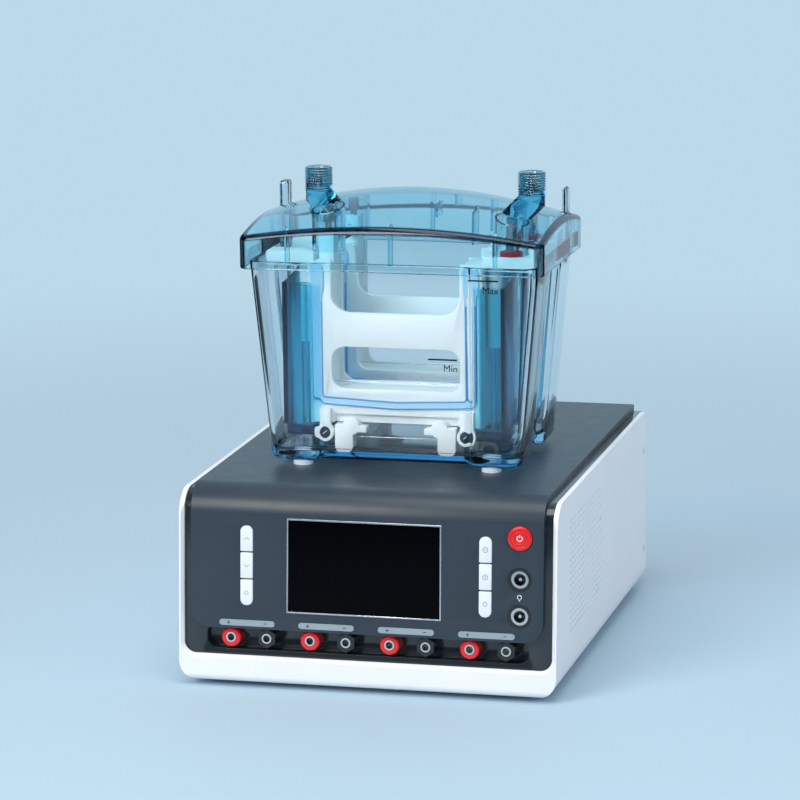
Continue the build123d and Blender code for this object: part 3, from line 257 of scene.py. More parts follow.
FINISH = {
    "white_paint": solid("white_paint", (0.85, 0.86, 0.89), 0.34, grain=1500.0, bump=0.09),
    "steel": solid("steel", (0.55, 0.56, 0.58), 0.32, metallic=1.0),
    "foot_rubber": solid("foot_rubber", (0.02, 0.02, 0.02), 0.75, bump=0.2),
    "dark_gloss": solid("dark_gloss", (0.016, 0.021, 0.027), 0.2, bump=0.02, coat=0.5),
    "panel_paint": solid("panel_paint", (0.026, 0.042, 0.060), 0.38, grain=1800.0, bump=0.1),
    "rim_metal": solid("rim_metal", (0.72, 0.74, 0.78), 0.22, metallic=1.0),
    "display_black": solid("display_black", (0.0008, 0.0008, 0.0016), 0.05, bump=0.0, specular=0.05),
    "board_green": solid("board_green", (0.02, 0.16, 0.07), 0.5),
    "key_white": solid("key_white", (0.78, 0.82, 0.88), 0.36),
    "button_red": solid("button_red", (0.78, 0.012, 0.014), 0.24, coat=0.4),
    "plate_grey": solid("plate_grey", (0.30, 0.36, 0.41), 0.35),
    "socket_red": solid("socket_red", (0.75, 0.008, 0.012), 0.2, coat=0.5),
    "socket_black": solid("socket_black", (0.012, 0.012, 0.015), 0.24, coat=0.3),
    "nickel": solid("nickel", (0.72, 0.71, 0.69), 0.16, metallic=1.0),
    "inner_black": solid("inner_black", (0.015, 0.015, 0.017), 0.5),
    "rear_paint": solid("rear_paint", (0.03, 0.036, 0.044), 0.42, grain=1600.0, bump=0.12),
    "winding_copper": solid("winding_copper", (0.42, 0.17, 0.06), 0.4),
    "sink_metal": solid("sink_metal", (0.6, 0.61, 0.64), 0.38, metallic=1.0),
    "capacitor_sleeve": solid("capacitor_sleeve", (0.015, 0.03, 0.09), 0.3),
    "clear_tank": clear("clear_tank", (0.05, 0.62, 0.86), 30.0, (0.97, 0.985, 0.995)),
    "clear_foot": solid("clear_foot", (0.78, 0.84, 0.9), 0.3),
    # blue_lid: lid_edge_shade_mask paints shade, nearly black, on the lid's upper edge, corners and lower
    # rim
    "blue_lid": clear("blue_lid", (0.05, 0.72, 0.88), 172.0, (0.92, 0.97, 0.99), edges=lid_edge_shade_mask),
    # blue_lid_fitting: thread_groove_shade_mask paints shade in the elbows' thread grooves
    "blue_lid_fitting": clear(
        "blue_lid_fitting", (0.04, 0.72, 0.88), 150.0, (0.9, 0.96, 0.99), edges=thread_groove_shade_mask
    ),
    "contact_metal": solid("contact_metal", (0.7, 0.71, 0.72), 0.22, metallic=1.0),
    "link_red": solid("link_red", (0.72, 0.004, 0.02), 0.4),
    "link_black": solid("link_black", (0.02, 0.02, 0.025), 0.3),
    "core_white": solid("core_white", (0.88, 0.89, 0.90), 0.38, grain=1200.0),
    "gasket_blue": solid("gasket_blue", (0.46, 0.70, 0.90), 0.34, coat=0.2),
    "pin_dark": solid("pin_dark", (0.004, 0.02, 0.045), 0.3, specular=0.2),
    "wing_blue": clear("wing_blue", (0.0, 0.79, 0.90), 520.0, (0.6, 0.85, 0.95), rough=0.12, ior=1.2),
}

SLOTS = {row["node"]: row["material_slot"] for row in frame["record"]["subparts"]}


def dress(node, finish, bevel, segments):
    """Welds a node's loose triangles, joins coplanar ones, rounds its sharp edges and smooths the rest."""
    obj = NODES[node]
    obj.data.materials.clear()
    obj.data.materials.append(finish)
    for polygon in obj.data.polygons:
        polygon.use_smooth = True
    weld = obj.modifiers.new("weld", "WELD")
    weld.merge_threshold = 0.00001
    if bevel:
        flats = obj.modifiers.new("flats", "DECIMATE")
        flats.decimate_type = "DISSOLVE"
        flats.angle_limit = math.radians(0.6)
        rounds = obj.modifiers.new("rounds", "BEVEL")
        rounds.width = bevel * MM
        rounds.segments = segments
        rounds.limit_method = "ANGLE"
        rounds.angle_limit = math.radians(38)
        rounds.harden_normals = False
    split = obj.modifiers.new("split", "EDGE_SPLIT")
    split.split_angle = math.radians(32)


BEVELS = {
    "control_panel": (0.7, 3),
    "dark_cover": (0.3, 2),
    "power_button": (0.2, 2),
    "display_frame": (0.15, 1),
    "fuse_drawer": (0.3, 2),
    "mains_inlet": (0.3, 2),
    "switch_frame": (0.3, 2),
    "rocker": (0.4, 2),
    "rear_panel": (0.2, 1),
    "front_core_frame": (0.4, 2),
    "rear_core_frame": (0.4, 2),
    "front_core_wing_left": (0.5, 2),
    "front_core_wing_right": (0.5, 2),
    "rear_core_wing_left": (0.5, 2),
    "rear_core_wing_right": (0.5, 2),
}
for side in ("left", "right"):
    for step in ("bottom", "middle", "top"):
        BEVELS[f"key_{side}_{step}"] = (0.5, 3)

for node in NODES:
    width, segments = BEVELS.get(node, (0, 1))
    dress(node, FINISH[SLOTS[node]], width, segments)


# Ways to build pieces


def rounded_loop(corners, radii, steps=7):
    """Closed outline with every corner rounded.

    The arc at a corner touches both sides at radius / tan(half the inner angle) from it.
    Its centre lies on the angle's bisector, and its points swing evenly from one touch to the other.
    """
    corners = np.asarray(corners, float)
    radii = np.broadcast_to(np.asarray(radii, float), len(corners))
    before = np.roll(corners, 1, axis=0) - corners
    after = np.roll(corners, -1, axis=0) - corners
    before /= np.linalg.norm(before, axis=1, keepdims=True)
    after /= np.linalg.norm(after, axis=1, keepdims=True)
    half = 0.5 * np.arccos(np.clip((before * after).sum(axis=1), -1.0, 1.0))
    reach = (radii / np.tan(half))[:, None]
    bisector = before + after
    bisector /= np.linalg.norm(bisector, axis=1, keepdims=True)
    centre = corners + bisector * (radii / np.sin(half))[:, None]
    first = corners + before * reach - centre
    last = corners + after * reach - centre
    turn = (math.pi - 2 * half)[:, None, None]
    t = np.linspace(0.0, 1.0, steps)[None, :, None]
    arc = (np.sin((1 - t) * turn) * first[:, None] + np.sin(t * turn) * last[:, None]) / np.sin(turn)
    return (centre[:, None] + arc).reshape(-1, 2)


def even_loop(loop, count):
    """The same closed outline with count points at even steps along it."""
    closed = np.vstack([loop, loop[:1]])
    along = np.concatenate([[0.0], np.cumsum(np.linalg.norm(np.diff(closed, axis=0), axis=1))])
    wanted = np.linspace(0.0, along[-1], count, endpoint=False)
    return np.stack([np.interp(wanted, along, closed[:, k]) for k in (0, 1)], axis=1)


def mesh_piece(name, points, faces, finish, split=32.0):
    """Mesh object from points in millimetres of the frame, faces outwards, smooth but for sharp edges."""
    mesh = bpy.data.meshes.new(name)
    mesh.from_pydata((np.asarray(points) * MM).tolist(), [], faces)
    work = bmesh.new()
    work.from_mesh(mesh)
    bmesh.ops.remove_doubles(work, verts=work.verts, dist=0.000005)
    bmesh.ops.recalc_face_normals(work, faces=work.faces)
    work.to_mesh(mesh)
    work.free()
    mesh.materials.append(finish)
    mesh.polygons.foreach_set("use_smooth", [True] * len(mesh.polygons))
    mesh.update()
    piece = bpy.data.objects.new(name, mesh)
    bpy.context.scene.collection.objects.link(piece)
    if split:
        edges = piece.modifiers.new("split", "EDGE_SPLIT")
        edges.split_angle = math.radians(split)
    return piece


def skin(rings, first_cap=True, last_cap=True):
    """Points and faces of a surface through closed rings, each end closed by a fan to its middle."""
    rings = np.asarray(rings, float)
    rows, count = rings.shape[:2]
    points = rings.reshape(-1, 3)
    row = np.arange(rows - 1)[:, None] * count
    here = np.arange(count)[None, :]
    ahead = (here + 1) % count
    quads = np.stack([row + here, row + ahead, row + count + ahead, row + count + here], axis=2)
    faces = quads.reshape(-1, 4).tolist()
    for wanted, start in ((first_cap, 0), (last_cap, (rows - 1) * count)):
        if wanted:
            middle = len(points)
            points = np.vstack([points, points[start : start + count].mean(axis=0)])
            fan = np.stack([start + here[0], start + ahead[0], np.full(count, middle)], axis=1)
            faces += fan.tolist()
    return points, faces


def joined(*surfaces):
    """One point list and one face list out of several closed surfaces."""
    points, faces = [], []
    start = 0
    for part_points, part_faces in surfaces:
        points.append(part_points)
        faces += [[start + index for index in face] for face in part_faces]
        start += len(part_points)
    return np.vstack(points), faces


def combined(piece, tools, operation):
    """Unites the tools with the piece, or cuts them from it, and keeps the result as its mesh."""
    for tool in tools:
        cut = piece.modifiers.new("cut", "BOOLEAN")
        cut.operation = operation
        cut.solver = "EXACT"
        cut.object = tool
    ready = piece.evaluated_get(bpy.context.evaluated_depsgraph_get())
    mesh = bpy.data.meshes.new_from_object(ready)
    old = piece.data
    piece.modifiers.clear()
    piece.data = mesh
    bpy.data.meshes.remove(old)
    for tool in tools:
        bpy.data.objects.remove(tool)
    return piece


def smooth_step(low, high, value):
    """0 below low, 1 above high, and a smooth rise between them."""
    t = np.clip((value - low) / (high - low), 0.0, 1.0)
    return t * t * (3 - 2 * t)


def placed(local):
    """Points of the tank's own frame, in millimetres, moved to the shared frame."""
    return np.asarray(local) + np.array([TANK_X, TANK_Y, DECK_Z])


def level(loop, heights):
    """A plan outline lifted to a height, or to one height for each of its points."""
    return np.column_stack([loop, np.broadcast_to(heights, len(loop))])


# Buffer tank: fluted walls, rounded foot, raised floor between its corners

TANK_HEIGHT = 120.0
TANK_LONG = (74.6, 85.2)
TANK_WIDE = (51.9, 54.4)
TANK_TOE = 8.0
TANK_WALL = 2.5
FRONT_FLUTE = (42.0, 2.0)
END_FLUTE = (15.0, 5.0)
FLUTE_SLOPE = 3.0
RIM_ROUND = 0.9
FOOT_ROUND = 5.5
INNER_FLOOR = 8.7
FLOOR_ROUND = 4.0
PRONG_HALF_WIDTH = 5.0


def tank_plan(height, inset):
    """Plan outline at a height: a rectangle whose sides are let in over their middles.

    Half length and half width grow evenly from the foot to the rim, less the inset.
    """
    share = max(height - TANK_TOE, 0.0) / (TANK_HEIGHT - TANK_TOE)
    a = TANK_LONG[0] + (TANK_LONG[1] - TANK_LONG[0]) * share - inset
    b = TANK_WIDE[0] + (TANK_WIDE[1] - TANK_WIDE[0]) * share - inset
    f = FRONT_FLUTE[0] + inset
    e = END_FLUTE[0] + inset
    quarter = [
        (f, b - FRONT_FLUTE[1]),
        (f + FLUTE_SLOPE, b),
        (a, b),
        (a, e + FLUTE_SLOPE),
        (a - END_FLUTE[1], e),
    ]
    bends = [4.0, 4.0, max(9.0 - inset, 3.0), 3.6, 3.6]
    corners = quarter + [(x, -y) for x, y in reversed(quarter)]
    corners += [(-x, -y) for x, y in quarter] + [(-x, y) for x, y in reversed(quarter)]
    radii = bends + bends[::-1] + bends + bends[::-1]
    return rounded_loop(corners, radii)


def foot_height(loop):
    """Height of the outer bottom: low under the four corners, raised in a cross between them."""
    over_front = 1 - smooth_step(FRONT_FLUTE[0] - 1.0, FRONT_FLUTE[0] + 8.0, np.abs(loop[:, 0]))
    over_end = 1 - smooth_step(END_FLUTE[0] - 1.0, END_FLUTE[0] + 8.0, np.abs(loop[:, 1]))
    return 2.5 + 3.7 * np.maximum(over_front, over_end)


def tank_rings():
    """Rings from the middle of the underside out, up the wall, over the rim and down to the inner floor."""
    rings = []
    base = tank_plan(TANK_TOE, FOOT_ROUND)
    for share in np.linspace(0.08, 1.0, 16):
        loop = base * share
        rings.append(level(loop, foot_height(loop)))
    for angle in np.radians(np.linspace(15, 90, 6)):
        loop = tank_plan(TANK_TOE, FOOT_ROUND * (1 - math.sin(angle)))
        rings.append(level(loop, foot_height(base) + FOOT_ROUND * (1 - math.cos(angle))))
    for height in np.linspace(16.0, TANK_HEIGHT - 1.0, 9):
        rings.append(level(tank_plan(height, 0.0), height))
    for angle in np.radians((30, 60, 90)):
        inset = RIM_ROUND * (1 - math.cos(angle))
        height = TANK_HEIGHT - RIM_ROUND * (1 - math.sin(angle))
        rings.append(level(tank_plan(TANK_HEIGHT, inset), height))
    for angle in np.radians((90, 60, 30)):
        inset = TANK_WALL - RIM_ROUND * (1 - math.cos(angle))
        height = TANK_HEIGHT - RIM_ROUND * (1 - math.sin(angle))
        rings.append(level(tank_plan(TANK_HEIGHT, inset), height))
    for height in np.linspace(TANK_HEIGHT - 1.0, INNER_FLOOR + FLOOR_ROUND, 10):
        rings.append(level(tank_plan(height, TANK_WALL), height))
    for angle in np.radians(np.linspace(15, 90, 6)):
        inset = TANK_WALL + FLOOR_ROUND * (1 - math.cos(angle))
        rings.append(level(tank_plan(INNER_FLOOR, inset), INNER_FLOOR + FLOOR_ROUND * (1 - math.sin(angle))))
    inner = tank_plan(INNER_FLOOR, TANK_WALL + FLOOR_ROUND)
    for share in np.linspace(0.9, 0.1, 6):
        rings.append(level(inner * share, INNER_FLOOR))
    return placed(np.array(rings))


def prong(side, inner, outer):
    """Upright release prong: a rounded bar on the rim, its top narrowed over the last millimetres."""
    centre = np.array([side * (inner + outer) / 2, PRONG_Y])
    half_thick = (outer - inner) / 2
    rings = []
    for height, inset in ((114.6, 0.0), (152.8, 0.0), (154.0, 0.25), (154.7, 0.7), (155.0, 1.2)):
        a = half_thick - inset
        b = PRONG_HALF_WIDTH - inset
        loop = rounded_loop([(a, b), (a, -b), (-a, -b), (-a, b)], 1.2 - 0.675 * inset, 5)
        rings.append(level(loop + centre, height))
    return skin(placed(np.array(rings)))


PRONG_Y = 28.5
PRONG_INNER = {"left": 81.3, "right": 83.9}
PRONG_OUTER = 86.7
tank_body = mesh_piece("tank_body", *skin(tank_rings()), FINISH["clear_tank"], split=0)
prongs = [
    mesh_piece(f"prong_{word}", *prong(side, PRONG_INNER[word], PRONG_OUTER), FINISH["clear_tank"])
    for word, side in SIDES.items()
]
tank_body = combined(tank_body, prongs, "UNION")
tank_edges = tank_body.modifiers.new("split", "EDGE_SPLIT")
tank_edges.split_angle = math.radians(38)
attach(tank_body, "tank")
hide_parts("tank")


# Lid: crowned shell with rounded edge, cups round the jacks, hanging ribs and prong slots


def crown(x, y, drop):
    """Height of the lid's crown: an arc across, its ridge and its edge falling with x squared."""
    share = x / LID_LONG
    ridge = LID_CROWN - drop - RIDGE_FALL * share**2
    edge = LID_CROWN - drop - EDGE_DROP - EDGE_FALL * share**2
    rise = ridge - edge
    radius = (LID_WIDE**2 + rise**2) / (2 * rise)
    return ridge - radius + np.sqrt(radius**2 - y**2)


def lid_plan(inset):
    """Rounded rectangle of the lid, let in by inset, with even steps so that its sides can curve."""
    a = LID_LONG - inset
    b = LID_WIDE - inset
    loop = rounded_loop([(a, b), (a, -b), (-a, -b), (-a, b)], max(6.0 - inset, 2.5), 9)
    return even_loop(loop, 440)


def lid_rings():
    """Rings from the crown's middle out, round its edge, down the skirt and up again inside."""
    rings = []
    edge_round = 2.6
    base = lid_plan(edge_round)
    for share in np.linspace(0.03, 1.0, 26):
        loop = base * share
        rings.append(level(loop, crown(loop[:, 0], loop[:, 1], 0.0)))
    for angle in np.radians((22, 45, 67, 90)):
        loop = lid_plan(edge_round * (1 - math.sin(angle)))
        height = crown(loop[:, 0], loop[:, 1], 0.0) - edge_round * (1 - math.cos(angle))
        rings.append(level(loop, height))
    top = rings[-1][:, 2]
    skirt = lid_plan(0.0)
    for share in (0.75, 0.5, 0.25, 0.0):
        rings.append(level(skirt, LID_LOW + 0.5 + (top - LID_LOW - 0.5) * share))
    rings.append(level(lid_plan(0.5), LID_LOW))
    rings.append(level(lid_plan(LID_WALL - 0.5), LID_LOW))
    inner = lid_plan(LID_WALL)
    inner_round = 1.2
    under = crown(inner[:, 0], inner[:, 1], LID_WALL) - inner_round
    for share in (0.0, 0.25, 0.5, 0.75, 1.0):
        rings.append(level(inner, LID_LOW + 0.5 + (under - LID_LOW - 0.5) * share))
    for angle in np.radians((30, 60, 90)):
        loop = lid_plan(LID_WALL + inner_round * (1 - math.cos(angle)))
        height = crown(loop[:, 0], loop[:, 1], LID_WALL) - inner_round * (1 - math.sin(angle))
        rings.append(level(loop, height))
    base = lid_plan(LID_WALL + inner_round)
    for share in np.linspace(0.97, 0.03, 24):
        loop = base * share
        rings.append(level(loop, crown(loop[:, 0], loop[:, 1], LID_WALL)))
    return placed(np.array(rings))


def cup(x, y, low):
    """Round cup hanging from the crown, open below: outer wall up, inner wall down."""
    turn = np.linspace(0, 2 * math.pi, 48, endpoint=False)
    ring = np.stack([np.cos(turn), np.sin(turn)], axis=1)
    rings = []
    for radius, high in ((9.8, False), (9.8, True), (8.5, True), (8.5, False)):
        loop = np.array([x, y]) + ring * radius
        heights = crown(loop[:, 0], loop[:, 1], 1.0) if high else low
        rings.append(level(loop, heights))
    rings.append(rings[0])
    return skin(placed(np.array(rings)), False, False)


def hanging_plate(x, y_low, y_high, bottom):
    """Flat plate below the crown, its top edge just inside the crown's wall."""
    rings = []
    for height_share in (0.0, 1.0):
        loop = np.array([(x - 0.8, y_low), (x + 0.8, y_low), (x + 0.8, y_high), (x - 0.8, y_high)])
        top = crown(loop[:, 0], np.clip(loop[:, 1], -56.5, 56.5), 1.0)
        rings.append(level(loop, bottom + (top - bottom) * height_share))
    return skin(placed(np.array(rings)))


def post(x, y, half_x, half_y, low, high):
    """Upright box, used to cut the slots that the prongs pass through."""
    loop = np.array([(-half_x, -half_y), (half_x, -half_y), (half_x, half_y), (-half_x, half_y)]) + (x, y)
    return skin(placed(np.array([level(loop, low), level(loop, high)])))


SLOT_GAP = 0.9
RIB_XS = (-61.0, 0.0, 61.0)
FIN_HALF = 6.0
FIN_PLACES = [(43.5, -25.0, 129.5), (22.0, -25.0, 144.0), (43.5, 25.0, 129.5), (22.0, 25.0, 144.0)]
JACK_PLACES = [(x, y, 124.0) for x in (-42.5, 65.4) for y in CORE_Y.values()]
lid_shell = mesh_piece("lid_shell", *skin(lid_rings()), FINISH["blue_lid"], split=0)
inside = [cup(x, y, low) for x, y, low in JACK_PLACES]
inside += [hanging_plate(x, -56.4, -49.7, 120.0) for x in RIB_XS]
inside += [hanging_plate(x, 49.7, 56.4, 120.0) for x in RIB_XS]
inside += [hanging_plate(x, y - FIN_HALF, y + FIN_HALF, low) for x, y, low in FIN_PLACES]
fittings = mesh_piece("lid_fittings", *joined(*inside), FINISH["blue_lid"], split=0)
lid_shell = combined(lid_shell, [fittings], "UNION")
slot_posts = []
for word, side in SIDES.items():
    slot_x = side * (PRONG_INNER[word] + PRONG_OUTER) / 2
    slot_half = (PRONG_OUTER - PRONG_INNER[word]) / 2 + SLOT_GAP
    slot_posts.append(post(slot_x, PRONG_Y, slot_half, PRONG_HALF_WIDTH + SLOT_GAP, 125.0, 170.0))
slots = mesh_piece("slots", *joined(*slot_posts), FINISH["blue_lid"], split=0)
lid_shell = combined(lid_shell, [slots], "DIFFERENCE")
lid_edges = lid_shell.modifiers.new("split", "EDGE_SPLIT")
lid_edges.split_angle = math.radians(34)
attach(lid_shell, "lid")
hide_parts("lid")


# Lead elbows: threaded upright, a bend toward the lid's middle, a smooth stub

ELBOW_Y = -20.0
ELBOW_KNEE = 154.2
ELBOW_STUB = 7.6
BORE_RADIUS = 5.4
BORE_DEPTH = 12.0


def elbow(x, side):
    """Pipe with ribs round its upright part and a mitred bend of 45 degrees.

    Radius is 7.2 mm plus 0.9 mm times a raised cosine along the thread.
    Each ring of the upright part is stretched down so that the last one lies on the mitre
    plane, which leans by half the bend, and the stub carries that outline on along the slant.
    """
    turn = np.linspace(0, 2 * math.pi, 64, endpoint=False)
    across, beside = np.cos(turn), np.sin(turn)

    def ring(radius, height):
        return level(np.stack([x + radius * across, ELBOW_Y + radius * beside], axis=1), height)

    rings = [
        ring(BORE_RADIUS, ELBOW_TOP - BORE_DEPTH),
        ring(5.6, ELBOW_TOP - 0.4),
        ring(6.0, ELBOW_TOP),
        ring(7.4, ELBOW_TOP),
    ]
    mitre = ELBOW_KNEE - side * across * ELBOW_STUB * math.tan(math.radians(22.5))
    straight = ELBOW_TOP - ELBOW_KNEE - 3.2
    for depth in np.linspace(THREAD_START, straight, 76):
        swell = 0.5 - 0.5 * math.cos(2 * math.pi * (depth - THREAD_START) / THREAD_PITCH)
        rings.append(ring(ELBOW_RADIUS + THREAD_DEPTH * swell, ELBOW_TOP - depth))
    low = ELBOW_TOP - straight
    for share in (0.25, 0.5, 0.75, 1.0):
        rings.append(ring(ELBOW_STUB, low + (mitre - low) * share))
    slant = np.array([-side, 0.0, -1.0]) / math.sqrt(2.0)
    bend = rings[-1]
    for reach in (5.0, 10.0, 17.0):
        rings.append(bend + slant * reach)
    return skin(placed(np.array(rings)))


elbow_parts = [elbow(-50.4, -1), elbow(75.5, 1)]
elbows = mesh_piece("threaded_elbows", *joined(*elbow_parts), FINISH["blue_lid_fitting"], split=0)
under_crown = []
for share in np.linspace(0.03, 1.0, 26):
    loop = lid_plan(0.0) * share
    under_crown.append(level(loop, crown(loop[:, 0], loop[:, 1], 0.0)))
under_crown.append(level(lid_plan(0.0), 118.0))
tool = mesh_piece("under_crown", *skin(placed(np.array(under_crown))), FINISH["blue_lid_fitting"], split=0)
elbows = combined(elbows, [tool], "DIFFERENCE")
elbow_edges = elbows.modifiers.new("split", "EDGE_SPLIT")
elbow_edges.split_angle = math.radians(50)
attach(elbows, "lid")
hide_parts("lead_elbows")


# Ribs down the faces of the clamp wings

WING_RIB_XS = (52.3, 60.4)
WING_RIB_RADIUS = 2.3
WING_HALF_THICK = 20.5


def wing_ribs(side, middle, facing):
    """Two broad upright ribs on one face of a wing: circle segments, half a millimetre proud."""
    arc = np.radians(np.linspace(-52, 52, 9))
    bars = []
    face = middle + facing * WING_HALF_THICK
    proud = WING_RIB_RADIUS * (np.cos(arc) - 0.79)
    for x in WING_RIB_XS:
        across = side * x + WING_RIB_RADIUS * np.sin(arc)
        loop = np.stack([across, face + facing * np.maximum(proud, -0.3)], axis=1)
        back = np.stack([across[::-1], np.full(9, face - facing * 0.5)], axis=1)
        outline = np.vstack([loop, back])
        bars.append(skin(placed(np.array([level(outline, 25.5), level(outline, 106.5)]))))
    return joined(*bars)


for core, middle in CORE_Y.items():
    for word, side in SIDES.items():
        both = joined(wing_ribs(side, middle, -1), wing_ribs(side, middle, 1))
        ribs = mesh_piece(f"{core}_{word}_wing_ribs", *both, FINISH["wing_blue"], split=40)
        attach(ribs, f"{core}_{word}_wing")


# Marks: printed strokes and words, a hair proud of what carries them

FINISH["print_black"] = solid("print_black", (0.004, 0.004, 0.005), 0.6, specular=0.2)
FINISH["print_grey"] = solid("print_grey", (0.22, 0.25, 0.3), 0.5)
FINISH["print_white"] = solid("print_white", (0.85, 0.87, 0.9), 0.4)


def on_front(x, height, proud):
    """Point of the leaning front: height along it above the feet, proud straight out of it."""
    lean = FRONT_LEAN
    y = FRONT_Y + height * math.sin(lean) - proud * math.cos(lean)
    z = FOOT_HEIGHT + height * math.cos(lean) + proud * math.sin(lean)
    return np.stack(np.broadcast_arrays(x, y, z), axis=-1)


def on_wall(x, height, proud):
    """Point of the tank's front wall, following its lean and the flute let into its middle."""
    share = (height - TANK_TOE) / (TANK_HEIGHT - TANK_TOE)
    reach = TANK_WIDE[0] + (TANK_WIDE[1] - TANK_WIDE[0]) * share
    let_in = FRONT_FLUTE[1] * (1 - np.clip((np.abs(x) - FRONT_FLUTE[0]) / FLUTE_SLOPE, 0.0, 1.0))
    return placed(np.stack(np.broadcast_arrays(x, -(reach - let_in + proud), height), axis=-1))


def stroke(path, width, surface, low, high, closed=False):
    """Flat line of a given width: a rectangle carried along the path, square to it, low to high proud."""
    path = np.asarray(path, float)
    if closed:
        path = np.vstack([path, path[:1]])
    ahead = np.gradient(path, axis=0)
    if closed:
        ahead[0] = ahead[-1] = path[1] - path[-2]
    ahead /= np.linalg.norm(ahead, axis=1, keepdims=True)
    square = np.stack([-ahead[:, 1], ahead[:, 0]], axis=1) * width / 2
    left, right = path + square, path - square
    edges = ((left, low), (right, low), (right, high), (left, high))
    rings = [surface(edge[:, 0], edge[:, 1], proud) for edge, proud in edges]
    return skin(np.stack(rings, axis=1), not closed, not closed)


def arc_path(x, y, radius, start, stop, count=24):
    """Points of a circle's arc, angles in degrees anticlockwise from the right."""
    angle = np.radians(np.linspace(start, stop, count))
    return np.stack([x + radius * np.cos(angle), y + radius * np.sin(angle)], axis=1)


def printed(name, strokes, finish, body):
    """Printed mark that moves with a body and takes the named finish."""
    mark = mesh_piece(name, *joined(*strokes), FINISH[finish], split=0)
    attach(mark, body)


def corners_of(node):
    """Low and high corner of a node's box, in millimetres."""
    return [np.array(corner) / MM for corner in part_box(node)]


def middle_of(node):
    """Middle of a node of the leaning front: x, and height along the front."""
    low, high = corners_of(node)
    centre = (low + high) / 2
    height = (centre[1] - FRONT_Y) * math.sin(FRONT_LEAN) + (centre[2] - FOOT_HEIGHT) * math.cos(FRONT_LEAN)
    return centre[0], height


def around(node, proud):
    """Surface function for strokes drawn about the middle of a key or button."""
    x0, height0 = middle_of(node)
    return lambda x, height, d: on_front(x0 + x, height0 + height, proud + d)


KEY_PROUD = 2.3
BUTTON_PROUD = 2.6
PANEL_PROUD = 1.5
PLATE_PROUD = 1.9


def key_mark(node, paths):
    """Grey strokes printed on a key's face."""
    face = around(node, KEY_PROUD)
    printed(
        f"{node}_mark",
        [stroke(path, 0.32, face, -0.08, 0.04, closed) for path, closed in paths],
        "print_grey",
        node,
    )


caret = [(-1.5, -0.65), (-0.75, 0.0), (0.0, 0.65), (0.75, 0.0), (1.5, -0.65)]
key_mark("key_left_top", [(caret, False)])
key_mark("key_left_middle", [([(x, -z) for x, z in caret], False)])
key_mark("key_left_bottom", [(arc_path(0, 0, 1.0, 0, 345), True)])
play = [(-0.4, -0.6), (0.6, 0.0), (-0.4, 0.6)]
pause = [(-0.4, -0.4), (0.4, -0.4), (0.4, 0.4), (-0.4, 0.4)]
key_mark("key_right_top", [(arc_path(0, 0, 1.45, 0, 345), True), (play, True)])
key_mark("key_right_middle", [(arc_path(0, 0, 1.45, 0, 345), True), (pause, True)])
key_mark(
    "key_right_bottom",
    [(arc_path(0, 0.4, 1.15, -60, 240), False), ([(-0.5, -0.95), (0.0, -0.95), (0.5, -0.95)], False)],
)

button = around("power_button", BUTTON_PROUD)
printed(
    "power_symbol",
    [
        stroke(arc_path(0, 0, 1.5, 125, 415), 0.5, button, -0.15, 0.05),
        stroke([(0.0, 0.3), (0.0, 1.2), (0.0, 2.0)], 0.5, button, -0.15, 0.05),
    ],
    "print_white",
    "power_button",
)

rings = [stroke(arc_path(0, 0, radius, 0, 351, 40), 0.7, button, -0.2, 0.35, True) for radius in (3.4, 5.6)]
printed("power_button_rings", rings, "button_red", "power_button")


def line(x, height, across, up):
    """Straight path of three points about its middle, reaching across and up from it each way."""
    return [(x - across, height - up), (x, height), (x + across, height + up)]


bulb_x = middle_of("lamp_jacks")[0]
bulb_height = 57.2
panel_low, panel_high = PANEL_PROUD - 0.1, PANEL_PROUD + 0.05
bulb = [
    stroke(arc_path(bulb_x, bulb_height + 0.5, 1.15, -78, 258), 0.42, on_front, panel_low, panel_high),
    stroke(line(bulb_x, bulb_height - 1.4, 0.45, 0.0), 0.5, on_front, panel_low, panel_high),
]
printed("bulb_symbol", bulb, "print_white", "supply")

PLATE_LONG = 32.5
PLATE_COUNT = 4
SIGN_HALF = 0.9
plate_low, plate_high = corners_of("polarity_plates")
plate_middle = (plate_low[2] + plate_high[2]) / 2
sign_height = (plate_middle - FOOT_HEIGHT - PLATE_PROUD * math.sin(FRONT_LEAN)) / math.cos(FRONT_LEAN)
signs = []
for x in np.linspace(plate_low[0] + PLATE_LONG / 2, plate_high[0] - PLATE_LONG / 2, PLATE_COUNT):
    for sign_x, across, up in ((x - 10.8, SIGN_HALF, 0), (x - 10.8, 0, SIGN_HALF), (x + 10.7, SIGN_HALF, 0)):
        path = line(sign_x, sign_height, across, up)
        signs.append(stroke(path, 0.36, on_front, PLATE_PROUD - 0.1, PLATE_PROUD + 0.05))
printed("polarity_signs", signs, "print_black", "supply")


def wall_words(name, words, size, x_end, height):
    """Printed words on the tank's front wall, ending at x_end, each point carried onto the wall."""
    letters = bpy.data.curves.new(name, "FONT")
    letters.body = words
    letters.size = size
    letters.align_x = "RIGHT"
    letters.extrude = 0.05
    letters.resolution_u = 4
    holder = bpy.data.objects.new(name, letters)
    bpy.context.scene.collection.objects.link(holder)
    bpy.context.view_layer.update()
    mesh = bpy.data.meshes.new_from_object(holder.evaluated_get(bpy.context.evaluated_depsgraph_get()))
    bpy.data.objects.remove(holder)
    flat = np.empty(len(mesh.vertices) * 3)
    mesh.vertices.foreach_get("co", flat)
    flat = flat.reshape(-1, 3)
    carried = on_wall(x_end + flat[:, 0], height + flat[:, 1], flat[:, 2]) * MM
    mesh.vertices.foreach_set("co", carried.ravel())
    mesh.materials.clear()
    mesh.materials.append(FINISH["print_black"])
    mesh.update()
    piece = bpy.data.objects.new(name, mesh)
    bpy.context.scene.collection.objects.link(piece)
    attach(piece, "tank")


